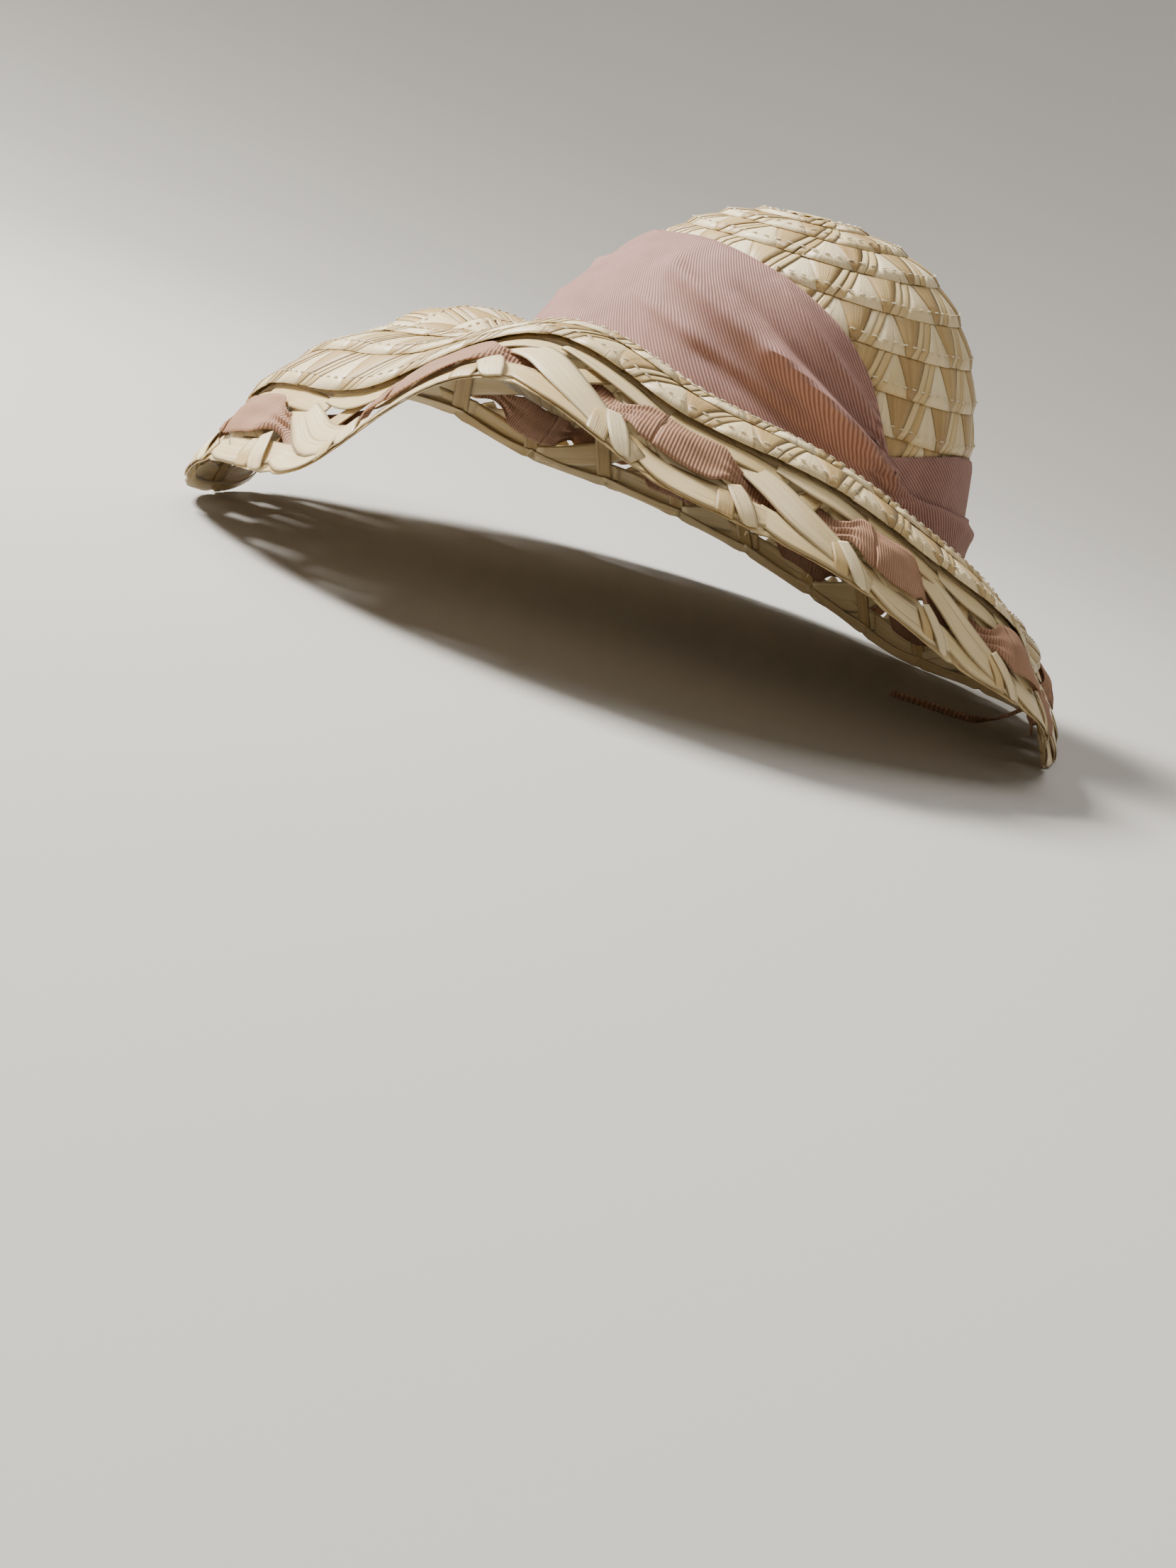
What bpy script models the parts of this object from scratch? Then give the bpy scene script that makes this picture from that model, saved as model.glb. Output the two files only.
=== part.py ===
"""A wide brim sun hat of sewn palm-straw braid, with a draped cloth band and a ribbon threaded round the rim.

Run it with blender --background --python part.py, or from the text editor. Lengths are metres and
+Z is up. The wearer looks along -Y and the wearer's left is +X. The hat rests on its brim, with the
origin on the ground below the middle of its box.

Azimuth 0 is the front of the hat and azimuth 90 the wearer's left. A share runs along a surface: on
the brim from the crown's foot at 0 to the rim at 1, on the crown from its foot at 0 to its tip at 1.
"""

import math
from collections import namedtuple

import bmesh
import bpy
from mathutils import Vector

# Head opening, measured outside the straw at the crown's foot.
HEAD_LENGTH = 0.200
HEAD_WIDTH = 0.172
OVAL_POWER = 2.15

# Height of the crown's foot above the ground, and how far it lies higher in front and on the left.
FOOT_HEIGHT = 0.0665
FOOT_FRONT_RISE = 0.0135
FOOT_LEFT_RISE = -0.006

# Crown.
CROWN_HEIGHT = 0.104
CROWN_FLATNESS = 4.2
CROWN_SHOULDER = 2.65
CROWN_TAPER = 0.20
CROWN_FRONT_SLOPE = 0.34
CROWN_SLOPE_AZIMUTH = -20
CROWN_FRONT_DROP = 0.008
CROWN_TIP_LEFT = -0.002
CROWN_TIP_BACK = 0.001
CROWN_ROWS = 10
CROWN_TIP_SHARE = 0.95
CROWN_INNER_TIP_SHARE = 0.92

# Straw wall, and how far each braid row's sewn edge stands proud of the next row.
STRAW_WALL = 0.0022
ROW_STEP = 0.0012
GAP = 0.0003

# Brim, along its surface from the crown's foot to the rim.
BRIM_SIDE_WIDTH = 0.116
BRIM_FRONT_EXTRA = 0.029
BRIM_ROWS = 5
BRIM_TURN_SHARE = 0.40
BRIM_TURN_LENGTH = 0.90

# Open-work edge braid.
EDGE_WIDTH = 0.037
SLOT_COUNT = 28
SLOT_WIDTH = 0.0105
SLOT_INSET = 0.0105

# Ribbon threaded through the slots.
RIBBON_WIDTH = 0.019
RIBBON_SIDE_CLEARANCE = 0.0009
RIBBON_WALL = 0.0011
TAIL_WIDTH = 0.004
TAIL_LENGTH = 0.056
TAIL_GROUND_GAP = 0.0008
TAIL_BAR = 25

# Cloth band.
CLOTH_WALL = 0.0014
BAND_PUFF = 0.0022
TUCK_START = 99
TUCK_END = 166
TUCK_FOOT_SHARE = 0.075

# Facets. The places are shares of one pitch: a bar's start, middle and end, then its slot's middle.
CROWN_SIDES = 48
BAND_SIDES = 72
TUCK_SIDES = 16
PROFILE_STEPS = 48
EDGE_PLACES = (0.0, 0.19, 0.38, 0.69)
BRIM_PLACES = (0.0, 0.38, 0.69)
SLOT_FIRST_PLACE = 2

BrimStation = namedtuple("BrimStation", "azimuth rise fall width")
# Slopes in degrees where the brim leaves the crown and where it ends, and its width as a share.
BRIM = [
    BrimStation(-162, 3, -76, 0.98),
    BrimStation(-144, 12, -70, 0.98),
    BrimStation(-126, 21, -62, 0.98),
    BrimStation(-108, 27, -58, 0.98),
    BrimStation(-90, 32, -58, 0.98),
    BrimStation(-72, 42, -54, 0.98),
    BrimStation(-54, 36, -57, 0.96),
    BrimStation(-36, 0, -64, 0.945),
    BrimStation(-18, 5, -62, 0.985),
    BrimStation(0, 24, -57, 0.98),
    BrimStation(18, 38, -54, 0.99),
    BrimStation(36, 58, -23, 0.98),
    BrimStation(54, 54, -29, 0.98),
    BrimStation(72, 54, -35, 0.98),
    BrimStation(90, 45, -46, 0.98),
    BrimStation(108, 26, -47, 0.98),
    BrimStation(126, 1, -59, 0.95),
    BrimStation(144, -5, -59, 0.94),
    BrimStation(162, -4, -57, 0.96),
    BrimStation(180, 0, -65, 0.98),
]

BandStation = namedtuple("BandStation", "azimuth top puff")
# Share of the crown that the band covers, and how full it is there.
BAND = [
    BandStation(-155, 0.145, 0.5),
    BandStation(-125, 0.16, 0.6),
    BandStation(-108, 0.20, 0.8),
    BandStation(-96, 0.32, 1.0),
    BandStation(-80, 0.47, 1.2),
    BandStation(-60, 0.55, 1.2),
    BandStation(-35, 0.585, 1.1),
    BandStation(-9, 0.60, 1.0),
    BandStation(23, 0.62, 1.0),
    BandStation(56, 0.58, 1.1),
    BandStation(72, 0.53, 1.2),
    BandStation(83, 0.475, 1.2),
    BandStation(92, 0.39, 1.1),
    BandStation(98, 0.28, 0.9),
    BandStation(105, 0.19, 0.7),
    BandStation(125, 0.165, 0.7),
    BandStation(160, 0.145, 0.5),
]

Fold = namedtuple("Fold", "from_azimuth from_share to_azimuth to_share height half_width")
# Each fold runs straight over the unrolled band. Heights are shares of the fold relief.
FOLD_RELIEF = 0.006
FOLDS = [
    Fold(36, 0.42, 62, 0.35, 0.8, 0.045),
    Fold(62, 0.35, 104, 0.195, 1.0, 0.035),
    Fold(104, 0.195, 150, 0.11, 0.8, 0.035),
    Fold(44, 0.29, 94, 0.17, -0.5, 0.035),
    Fold(58, 0.53, 99, 0.27, 0.35, 0.03),
    Fold(-14, 0.50, 44, 0.50, 0.25, 0.05),
    Fold(-20, 0.42, -98, 0.20, 0.8, 0.045),
    Fold(-30, 0.27, -104, 0.13, 0.5, 0.035),
    Fold(-104, 0.12, -160, 0.09, 0.6, 0.035),
]

TailPoint = namedtuple("TailPoint", "along height")
# The ribbon's free end, from the bar it leaves to its tip. Along is a share of its length and height
# a share of its first height over the ground.
TAIL = [
    TailPoint(0.0, 1.0),
    TailPoint(0.12, 0.62),
    TailPoint(0.26, 0.22),
    TailPoint(0.42, 0.0),
    TailPoint(0.70, 0.0),
    TailPoint(1.0, 0.0),
]

STRAW = (0.66, 0.55, 0.36, 1.0)
PALE_STRAW = (0.72, 0.62, 0.43, 1.0)
ROSE_CLOTH = (0.36, 0.17, 0.14, 1.0)
BROWN_RIBBON = (0.38, 0.20, 0.12, 1.0)


def around(stations, column, azimuth):
    """A column's value at an azimuth in degrees, on a smooth closed curve through the stations."""
    count = len(stations)
    azimuth = (azimuth - stations[0].azimuth) % 360 + stations[0].azimuth
    index = max(i for i in range(count) if stations[i].azimuth <= azimuth + 1e-9)

    def knot(step):
        turns, place = divmod(index + step, count)
        station = stations[place]
        return station.azimuth + 360 * turns, getattr(station, column)

    (x0, y0), (x1, y1), (x2, y2), (x3, y3) = (knot(step) for step in (-1, 0, 1, 2))
    span = x2 - x1
    slope1 = (y2 - y0) / (x2 - x0) * span
    slope2 = (y3 - y1) / (x3 - x1) * span
    f = (azimuth - x1) / span
    return (
        (2 * f**3 - 3 * f**2 + 1) * y1
        + (f**3 - 2 * f**2 + f) * slope1
        + (3 * f**2 - 2 * f**3) * y2
        + (f**3 - f**2) * slope2
    )


def smoothstep(low, high, value):
    f = min(max((value - low) / (high - low), 0.0), 1.0)
    return f * f * (3 - 2 * f)


def outward(azimuth):
    """The level direction from the crown's axis at an azimuth."""
    angle = math.radians(azimuth)
    return Vector((math.sin(angle), -math.cos(angle), 0.0))


def foot_radius(azimuth):
    angle = math.radians(azimuth)
    across = abs(math.sin(angle)) / (HEAD_WIDTH / 2)
    along = abs(math.cos(angle)) / (HEAD_LENGTH / 2)
    return (across**OVAL_POWER + along**OVAL_POWER) ** (-1 / OVAL_POWER)


def foot_height(azimuth):
    angle = math.radians(azimuth)
    return FOOT_HEIGHT + FOOT_FRONT_RISE * math.cos(angle) + FOOT_LEFT_RISE * math.sin(angle)


def brim_width(azimuth):
    width = BRIM_SIDE_WIDTH + BRIM_FRONT_EXTRA * math.cos(math.radians(azimuth))
    return width * around(BRIM, "width", azimuth)


def brim_slope(azimuth, share):
    """Slope of the brim in radians, up being positive."""
    rise = around(BRIM, "rise", azimuth)
    fall = around(BRIM, "fall", azimuth)
    start = BRIM_TURN_SHARE - BRIM_TURN_LENGTH / 2
    turned = smoothstep(start, start + BRIM_TURN_LENGTH, share)
    return math.radians(rise + (fall - rise) * turned)


class BrimLine:
    """The brim's top line at one azimuth, in the upright plane through the crown's axis."""

    def __init__(self, azimuth):
        self.azimuth = azimuth
        self.width = brim_width(azimuth)
        step = self.width / PROFILE_STEPS
        radius = foot_radius(azimuth) + GAP
        height = foot_height(azimuth)
        self.places = [(radius, height)]
        for i in range(PROFILE_STEPS):
            slope = brim_slope(azimuth, (i + 0.5) / PROFILE_STEPS)
            radius += step * math.cos(slope)
            height += step * math.sin(slope)
            self.places.append((radius, height))

    def point(self, share, lift=0.0):
        """The point at a share of the width, lifted off the surface."""
        place = min(max(share, 0.0), 1.0) * PROFILE_STEPS
        i = min(int(place), PROFILE_STEPS - 1)
        (r0, z0), (r1, z1) = self.places[i], self.places[i + 1]
        f = place - i
        slope = brim_slope(self.azimuth, share)
        radius = r0 + (r1 - r0) * f - lift * math.sin(slope)
        height = z0 + (z1 - z0) * f + lift * math.cos(slope)
        return outward(self.azimuth) * radius + Vector((0, 0, height))

    def edge_share(self):
        """Where the sewn rows end and the open edge braid starts."""
        return 1 - EDGE_WIDTH / self.width

    def height_at(self, radius):
        """Height of the surface at a radius near the crown's foot."""
        for (r0, z0), (r1, z1) in zip(self.places, self.places[1:]):
            if r1 >= radius:
                return z0 + (z1 - z0) * (radius - r0) / (r1 - r0)
        return self.places[-1][1]


class CrownLine:
    """The crown's outer line at one azimuth, from its foot to its tip."""

    def __init__(self, azimuth):
        self.azimuth = azimuth
        self.places = [self.place(i / PROFILE_STEPS) for i in range(PROFILE_STEPS + 1)]
        self.lengths = [0.0]
        for (r0, z0, _), (r1, z1, _) in zip(self.places, self.places[1:]):
            self.lengths.append(self.lengths[-1] + math.hypot(r1 - r0, z1 - z0))
        self.length = self.lengths[-1]

    def place(self, share):
        """Radius, height and rise share of the line, for an even march from foot to tip."""
        rise = math.sin(share * math.pi / 2)
        radius = max(1 - rise**CROWN_FLATNESS, 0.0) ** (1 / CROWN_SHOULDER)
        radius *= 1 - CROWN_TAPER * rise
        facing = (1 + math.cos(math.radians(self.azimuth - CROWN_SLOPE_AZIMUTH))) / 2
        radius *= 1 - CROWN_FRONT_SLOPE * rise * facing**1.5
        drop = CROWN_FRONT_DROP * rise * math.cos(math.radians(self.azimuth)) * radius
        height = foot_height(self.azimuth) * (1 - rise) + FOOT_HEIGHT * rise + CROWN_HEIGHT * rise - drop
        return foot_radius(self.azimuth) * radius, height, rise

    def point(self, share, lift=0.0):
        """The point at a share of the line's length, lifted off the surface."""
        target = min(max(share, 0.0), 1.0) * self.length
        i = max(k for k in range(PROFILE_STEPS) if self.lengths[k] <= target)
        (r0, z0, s0), (r1, z1, s1) = self.places[i], self.places[i + 1]
        step = self.lengths[i + 1] - self.lengths[i]
        f = (target - self.lengths[i]) / step
        radius = r0 + (r1 - r0) * f + lift * (z1 - z0) / step
        height = z0 + (z1 - z0) * f - lift * (r1 - r0) / step
        rise = s0 + (s1 - s0) * f
        centre = Vector((CROWN_TIP_LEFT * rise, CROWN_TIP_BACK * rise, height))
        return centre + outward(self.azimuth) * radius


def azimuths(count):
    return [360 * i / count - 180 for i in range(count)]


def pitch_azimuths(places):
    """The azimuths of some places in every pitch of the slots, the first being behind."""
    pitch = 360 / SLOT_COUNT
    return [pitch * (i + place) - 180 for i in range(SLOT_COUNT) for place in places]


def rounded(point):
    return tuple(round(value, 6) for value in point)


def mesh_from(bm, name):
    bmesh.ops.recalc_face_normals(bm, faces=bm.faces)
    mesh = bpy.data.meshes.new(name)
    bm.to_mesh(mesh)
    bm.free()
    return mesh


def extrude_rings(rings):
    """A tube through rings of points: the first is a circle, and each further one is extruded from it."""
    bm = bmesh.new()
    bmesh.ops.create_circle(bm, segments=len(rings[0]), radius=1.0)
    verts = list(bm.verts)
    edges = list(bm.edges)
    first_edges = edges
    for vert, point in zip(verts, rings[0]):
        vert.co = point
    for ring in rings[1:]:
        made = bmesh.ops.extrude_edge_only(bm, edges=edges)["geom"]
        fresh = {item for item in made if isinstance(item, bmesh.types.BMVert)}
        edges = [
            item
            for item in made
            if isinstance(item, bmesh.types.BMEdge) and item.verts[0] in fresh and item.verts[1] in fresh
        ]
        verts = [
            next(edge.other_vert(vert) for edge in vert.link_edges if edge.other_vert(vert) in fresh)
            for vert in verts
        ]
        for vert, point in zip(verts, ring):
            vert.co = point
    return bm, first_edges, edges


def closed_sleeve(name, rings):
    """A ring-shaped wall: the last ring of points joins the first."""
    bm, first_edges, last_edges = extrude_rings(rings)
    bmesh.ops.bridge_loops(bm, edges=first_edges + last_edges)
    return mesh_from(bm, name)


def capped_tube(name, rings):
    """A tube through rings of points, with a flat cap on each end."""
    bm, first_edges, last_edges = extrude_rings(rings)
    bmesh.ops.edgeloop_fill(bm, edges=first_edges)
    bmesh.ops.edgeloop_fill(bm, edges=last_edges)
    return mesh_from(bm, name)


def levelled(ring):
    """The same ring lowered into one level plane, so that its cap is flat."""
    height = min(point.z for point in ring)
    return [Vector((point.x, point.y, height)) for point in ring]


def crown_mesh():
    """Overlapping rows outside, a smooth wall inside, and a small flat disc at the tip."""
    lines = [CrownLine(azimuth) for azimuth in azimuths(CROWN_SIDES)]
    foot_drop = Vector((0, 0, STRAW_WALL * 1.5))

    def ring(share, lift):
        return [line.point(share, lift) for line in lines]

    inner_shares = [CROWN_INNER_TIP_SHARE * (1 - i / 8) for i in range(8)]
    inner_tip = levelled(ring(inner_shares[0], -STRAW_WALL))
    rings = [inner_tip] + [ring(share, -STRAW_WALL) for share in inner_shares[1:]]
    rings.append([point - foot_drop for point in ring(0.0, -STRAW_WALL)])
    rings.append([point - foot_drop for point in ring(0.0, 0.0)])
    for row in range(CROWN_ROWS):
        low = CROWN_TIP_SHARE * row / CROWN_ROWS
        high = CROWN_TIP_SHARE * (row + 1) / CROWN_ROWS
        rings.append(ring(low, ROW_STEP if row else 0.0))
        rings.append(ring(high, 0.0))
    rings[-1] = levelled(rings[-1])
    return capped_tube("crown", rings)


def brim_mesh():
    """Overlapping rows above and a smooth face below, round to the upright face at the crown's foot."""
    lines = [BrimLine(azimuth) for azimuth in pitch_azimuths(BRIM_PLACES)]

    def ring(share, lift):
        return [line.point(line.edge_share() * share, lift) for line in lines]

    rings = []
    for row in range(BRIM_ROWS):
        rings.append(ring(row / BRIM_ROWS, 0.0))
        rings.append(ring((row + 1) / BRIM_ROWS, ROW_STEP))
    rings += [ring(share / BRIM_ROWS, -STRAW_WALL) for share in range(BRIM_ROWS, 0, -1)]
    upright = []
    for line, top in zip(lines, rings[0]):
        depth = STRAW_WALL / math.cos(brim_slope(line.azimuth, 0.0))
        upright.append(top - Vector((0, 0, depth)))
    rings.append(upright)
    return closed_sleeve("brim", rings)


def edge_shares(line):
    """The edge braid's inner edge, the slots' two sides and the rim, as shares of the brim."""
    start = line.edge_share()
    lengths = (GAP, SLOT_INSET, SLOT_INSET + SLOT_WIDTH, EDGE_WIDTH)
    return [start + length / line.width for length in lengths]


def edge_braid_mesh():
    """A strip round the rim with the slots taken out, doubled into a wall."""
    lines = [BrimLine(azimuth) for azimuth in pitch_azimuths(EDGE_PLACES)]
    across = [edge_shares(line) for line in lines]
    rings = [[line.point(shares[k]) for line, shares in zip(lines, across)] for k in range(4)]
    bm, _, _ = extrude_rings(rings)
    places = {}
    for k, ring in enumerate(rings):
        for i, point in enumerate(ring):
            places[rounded(point)] = (k, i)
    holes = []
    for face in bm.faces:
        corners = [places[rounded(vert.co)] for vert in face.verts]
        columns = {i for _, i in corners}
        column = max(columns) if columns == {0, len(lines) - 1} else min(columns)
        if {k for k, _ in corners} == {1, 2} and column % len(EDGE_PLACES) >= SLOT_FIRST_PLACE:
            holes.append(face)
    bmesh.ops.delete(bm, geom=holes, context="FACES_ONLY")
    made = bmesh.ops.extrude_face_region(bm, geom=list(bm.faces), use_keep_orig=True)["geom"]
    for item in made:
        if isinstance(item, bmesh.types.BMVert):
            k, i = places[rounded(item.co)]
            item.co = lines[i].point(across[i][k], -STRAW_WALL)
    return mesh_from(bm, "edge_braid")


RibbonPlace = namedtuple("RibbonPlace", "along width lift")
# One pitch of the threaded ribbon: its place from the bar's start, its width from slot to full width,
# and its side of the straw, which the slots change.
RIBBON_PITCH = [
    RibbonPlace(EDGE_PLACES[0], 0.0, 1.0),
    RibbonPlace(EDGE_PLACES[1], 1.0, 1.0),
    RibbonPlace(EDGE_PLACES[2], 0.0, 1.0),
    RibbonPlace(EDGE_PLACES[3], 0.0, 0.0),
]


def facet_point(line, share, lift):
    """The point at a share of the brim on the edge braid's flat facets."""
    shares = edge_shares(line)
    low, high = next(pair for pair in zip(shares, shares[1:]) if pair[1] >= share)
    return line.point(low, lift).lerp(line.point(high, lift), (share - low) / (high - low))


def edge_ribbon_mesh():
    """A flat strip that goes over one bar and under the next, and narrows to pass each slot."""
    narrow = SLOT_WIDTH / 2 - RIBBON_SIDE_CLEARANCE
    over = GAP + RIBBON_WALL / 2
    under = -STRAW_WALL - GAP - RIBBON_WALL / 2
    sections = []
    for i in range(SLOT_COUNT):
        side = 1 if i % 2 == 0 else -1
        for place in RIBBON_PITCH:
            line = BrimLine(360 / SLOT_COUNT * (i + place.along) - 180)
            middle = line.edge_share() + (SLOT_INSET + SLOT_WIDTH / 2) / line.width
            outer = (narrow + (RIBBON_WIDTH / 2 - narrow) * place.width) / line.width
            inner = (narrow * 0.6 + (SLOT_WIDTH / 2 - narrow * 0.6) * place.width) / line.width
            lift = (over + under) / 2 + side * place.lift * (over - under) / 2
            shares = [middle - outer, middle - inner, middle + inner, middle + outer]
            lower = [facet_point(line, share, lift - RIBBON_WALL / 2) for share in shares]
            upper = [facet_point(line, share, lift + RIBBON_WALL / 2) for share in reversed(shares)]
            sections.append(lower + upper)
    return closed_sleeve("edge_ribbon", sections)


def ground_height():
    """Height of the rim's lowest point, where the hat rests."""
    return min(BrimLine(azimuth).point(1.0, -STRAW_WALL).z for azimuth in pitch_azimuths(EDGE_PLACES))


def ribbon_tail_mesh():
    """The ribbon's short free end, which comes from under a bar and lies inward, just clear of the ground."""
    azimuth = 360 / SLOT_COUNT * (TAIL_BAR + EDGE_PLACES[1]) - 180
    line = BrimLine(azimuth)
    middle = line.edge_share() + (SLOT_INSET + SLOT_WIDTH / 2) / line.width
    start = line.point(middle, -STRAW_WALL - 2 * GAP - 1.6 * RIBBON_WALL)
    rest = ground_height() + TAIL_GROUND_GAP + RIBBON_WALL / 2
    inward = -outward(azimuth)
    half_width = Vector((-inward.y, inward.x, 0.0)) * TAIL_WIDTH / 2
    half_wall = Vector((0, 0, RIBBON_WALL / 2))
    sections = []
    for place in TAIL:
        centre = start + inward * place.along * TAIL_LENGTH
        centre.z = rest + (start.z - rest) * place.height
        sections.append([
            centre - half_width - half_wall,
            centre + half_width - half_wall,
            centre + half_width + half_wall,
            centre - half_width + half_wall,
        ])
    return capped_tube("ribbon_tail", sections)


def fold_height(azimuth, share):
    """Relief of the band's folds at a place on the unrolled crown."""
    total = 0.0
    for fold in FOLDS:
        run = fold.to_azimuth - fold.from_azimuth
        place = (azimuth - fold.from_azimuth) / run
        fade = smoothstep(-0.15, 0.12, place) * (1 - smoothstep(0.88, 1.15, place))
        line = fold.from_share + (fold.to_share - fold.from_share) * min(max(place, 0.0), 1.0)
        total += fold.height * fade * math.exp(-(((share - line) / fold.half_width) ** 2))
    return FOLD_RELIEF * total


def tuck_room(azimuth):
    """How far the band stands off to leave room for the piece tucked under it."""
    opened = smoothstep(TUCK_START - 9, TUCK_START - 2, azimuth)
    closed = 1 - smoothstep(TUCK_END + 2, TUCK_END + 11, azimuth)
    return (CLOTH_WALL + GAP) * min(opened, closed)


def band_foot_share(line):
    """Where the band's lower edge clears the brim, which rises beside it."""
    outer = foot_radius(line.azimuth) + ROW_STEP + 3 * GAP + CLOTH_WALL + tuck_room(line.azimuth)
    rise = BrimLine(line.azimuth).height_at(outer) - foot_height(line.azimuth)
    return (max(rise, 0.0) + ROW_STEP + GAP) / line.length


def band_lift(azimuth, share, low, top):
    """Distance of the band's inner face from the crown."""
    place = (share - low) / (top - low)
    hem = max(math.sin(math.pi * min(max(place, 0.0), 1.0)), 0.0) ** 0.6
    puff = BAND_PUFF * around(BAND, "puff", azimuth)
    loose = max(puff + fold_height(azimuth, share), 0.0) * hem
    return ROW_STEP + GAP + max(loose, tuck_room(azimuth))


def crown_band_mesh():
    """The draped band: a folded wall all round the crown, high in front and low at the back."""
    lines = [CrownLine(azimuth) for azimuth in azimuths(BAND_SIDES)]
    places = (0.0, 0.14, 0.30, 0.46, 0.62, 0.80, 1.0)
    spans = []
    for line in lines:
        spans.append((band_foot_share(line), around(BAND, "top", line.azimuth)))

    def ring(place, wall):
        points = []
        for line, (low, top) in zip(lines, spans):
            share = low + (top - low) * place
            points.append(line.point(share, band_lift(line.azimuth, share, low, top) + wall))
        return points

    rings = [ring(place, CLOTH_WALL) for place in places]
    rings += [ring(place, 0.0) for place in reversed(places)]
    return closed_sleeve("crown_band", rings)


def band_tuck_mesh():
    """The flat piece that stands up behind the gather, held at its foot under the band's roll."""
    tops = (
        (0.0, 0.225),
        (0.2, 0.265),
        (0.5, 0.285),
        (0.8, 0.27),
        (1.0, 0.20),
    )
    sections = []
    for i in range(TUCK_SIDES + 1):
        place = i / TUCK_SIDES
        azimuth = TUCK_START + (TUCK_END - TUCK_START) * place
        line = CrownLine(azimuth)
        (x0, y0), (x1, y1) = next(pair for pair in zip(tops, tops[1:]) if pair[1][0] >= place - 1e-9)
        top = y0 + (y1 - y0) * smoothstep(x0, x1, place)
        inner = ROW_STEP + GAP
        middle = (TUCK_FOOT_SHARE + top) / 2
        sections.append([
            line.point(TUCK_FOOT_SHARE, inner),
            line.point(middle, inner),
            line.point(top, inner),
            line.point(top, inner + CLOTH_WALL),
            line.point(middle, inner + CLOTH_WALL),
            line.point(TUCK_FOOT_SHARE, inner + CLOTH_WALL),
        ])
    return capped_tube("band_tuck", sections)


def finish(name, colour, roughness):
    material = bpy.data.materials.new(name)
    material.use_nodes = True
    shader = material.node_tree.nodes["Principled BSDF"]
    shader.inputs["Base Color"].default_value = colour
    shader.inputs["Roughness"].default_value = roughness
    shader.inputs["Metallic"].default_value = 0.0
    return material


def add_piece(mesh, material, collection, parent):
    """An object of the mesh, shaded smooth between its sharp edges."""
    piece = bpy.data.objects.new(mesh.name, mesh)
    mesh.materials.append(material)
    mesh.shade_smooth()
    mesh.set_sharp_from_angle(angle=math.radians(35))
    collection.objects.link(piece)
    piece.parent = parent
    return piece


def base_place():
    """Where the crown's axis meets the ground, for a box centred on the origin."""
    rim = [BrimLine(azimuth).point(1.0) for azimuth in pitch_azimuths(EDGE_PLACES)]
    across = [point.x for point in rim]
    along = [point.y for point in rim]
    return -(min(across) + max(across)) / 2, -(min(along) + max(along)) / 2, -ground_height()


def main():
    for item in list(bpy.data.objects):
        bpy.data.objects.remove(item, do_unlink=True)
    collection = bpy.data.collections.new("wide_brim_straw_hat")
    bpy.context.scene.collection.children.link(collection)
    base = bpy.data.objects.new("hat_base", None)
    base.location = base_place()
    collection.objects.link(base)

    add_piece(crown_mesh(), finish("crown_straw", STRAW, 0.45), collection, base)
    add_piece(brim_mesh(), finish("brim_straw", PALE_STRAW, 0.42), collection, base)
    add_piece(edge_braid_mesh(), finish("edge_straw", STRAW, 0.40), collection, base)
    add_piece(crown_band_mesh(), finish("rose_cloth", ROSE_CLOTH, 0.75), collection, base)
    add_piece(band_tuck_mesh(), finish("rose_cloth_tuck", ROSE_CLOTH, 0.75), collection, base)
    add_piece(edge_ribbon_mesh(), finish("brown_ribbon", BROWN_RIBBON, 0.65), collection, base)
    add_piece(ribbon_tail_mesh(), finish("brown_ribbon_tail", BROWN_RIBBON, 0.65), collection, base)


main()
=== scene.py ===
"""Looks for the wide brim straw hat: plaited rows, a loose open rim, draped cloth and a threaded ribbon.

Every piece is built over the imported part, in its frame and in metres. The wearer looks along -Y and the
wearer's left is +X. Azimuth 0 is the front and azimuth 90 the wearer's left.
"""

import bisect
import logging
import math
from dataclasses import dataclass, field
from enum import Enum
from functools import partial
from typing import Callable, NamedTuple, Sequence

import bmesh
import bpy
from mathutils import Matrix, Vector


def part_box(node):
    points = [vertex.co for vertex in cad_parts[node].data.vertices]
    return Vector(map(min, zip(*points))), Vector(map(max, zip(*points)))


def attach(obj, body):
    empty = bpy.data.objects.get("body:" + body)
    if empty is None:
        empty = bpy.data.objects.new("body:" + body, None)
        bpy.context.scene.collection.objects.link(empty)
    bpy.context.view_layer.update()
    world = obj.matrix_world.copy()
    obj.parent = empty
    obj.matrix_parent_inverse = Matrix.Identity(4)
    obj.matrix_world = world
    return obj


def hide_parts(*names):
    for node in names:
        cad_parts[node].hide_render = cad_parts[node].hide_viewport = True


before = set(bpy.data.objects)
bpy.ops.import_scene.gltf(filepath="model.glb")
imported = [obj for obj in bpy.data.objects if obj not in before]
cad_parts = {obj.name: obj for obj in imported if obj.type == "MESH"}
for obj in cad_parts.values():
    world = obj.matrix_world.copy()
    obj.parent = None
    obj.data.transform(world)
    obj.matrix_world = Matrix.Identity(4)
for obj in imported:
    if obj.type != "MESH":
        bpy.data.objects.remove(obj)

log = logging.getLogger("straw_hat")

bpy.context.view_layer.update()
MM = 0.001
MERGE = 1e-5
MIDDLE_TONE = 0.5
FINE = 1e-9


class Slot(Enum):
    """The record's material slots."""

    CROWN = "crown_straw"
    BRIM = "brim_straw"
    RIM = "edge_straw"
    RIBBON = "brown_ribbon"
    CLOTH = "rose_cloth"


class BrimStation(NamedTuple):
    """The brim at one azimuth: its slopes in degrees at the crown and at the rim, and its width share."""

    azimuth: float
    rise: float
    fall: float
    width: float


class BandStation(NamedTuple):
    """The band at one azimuth: the share of the crown that it covers, and how full it is."""

    azimuth: float
    top: float
    puff: float


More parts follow.
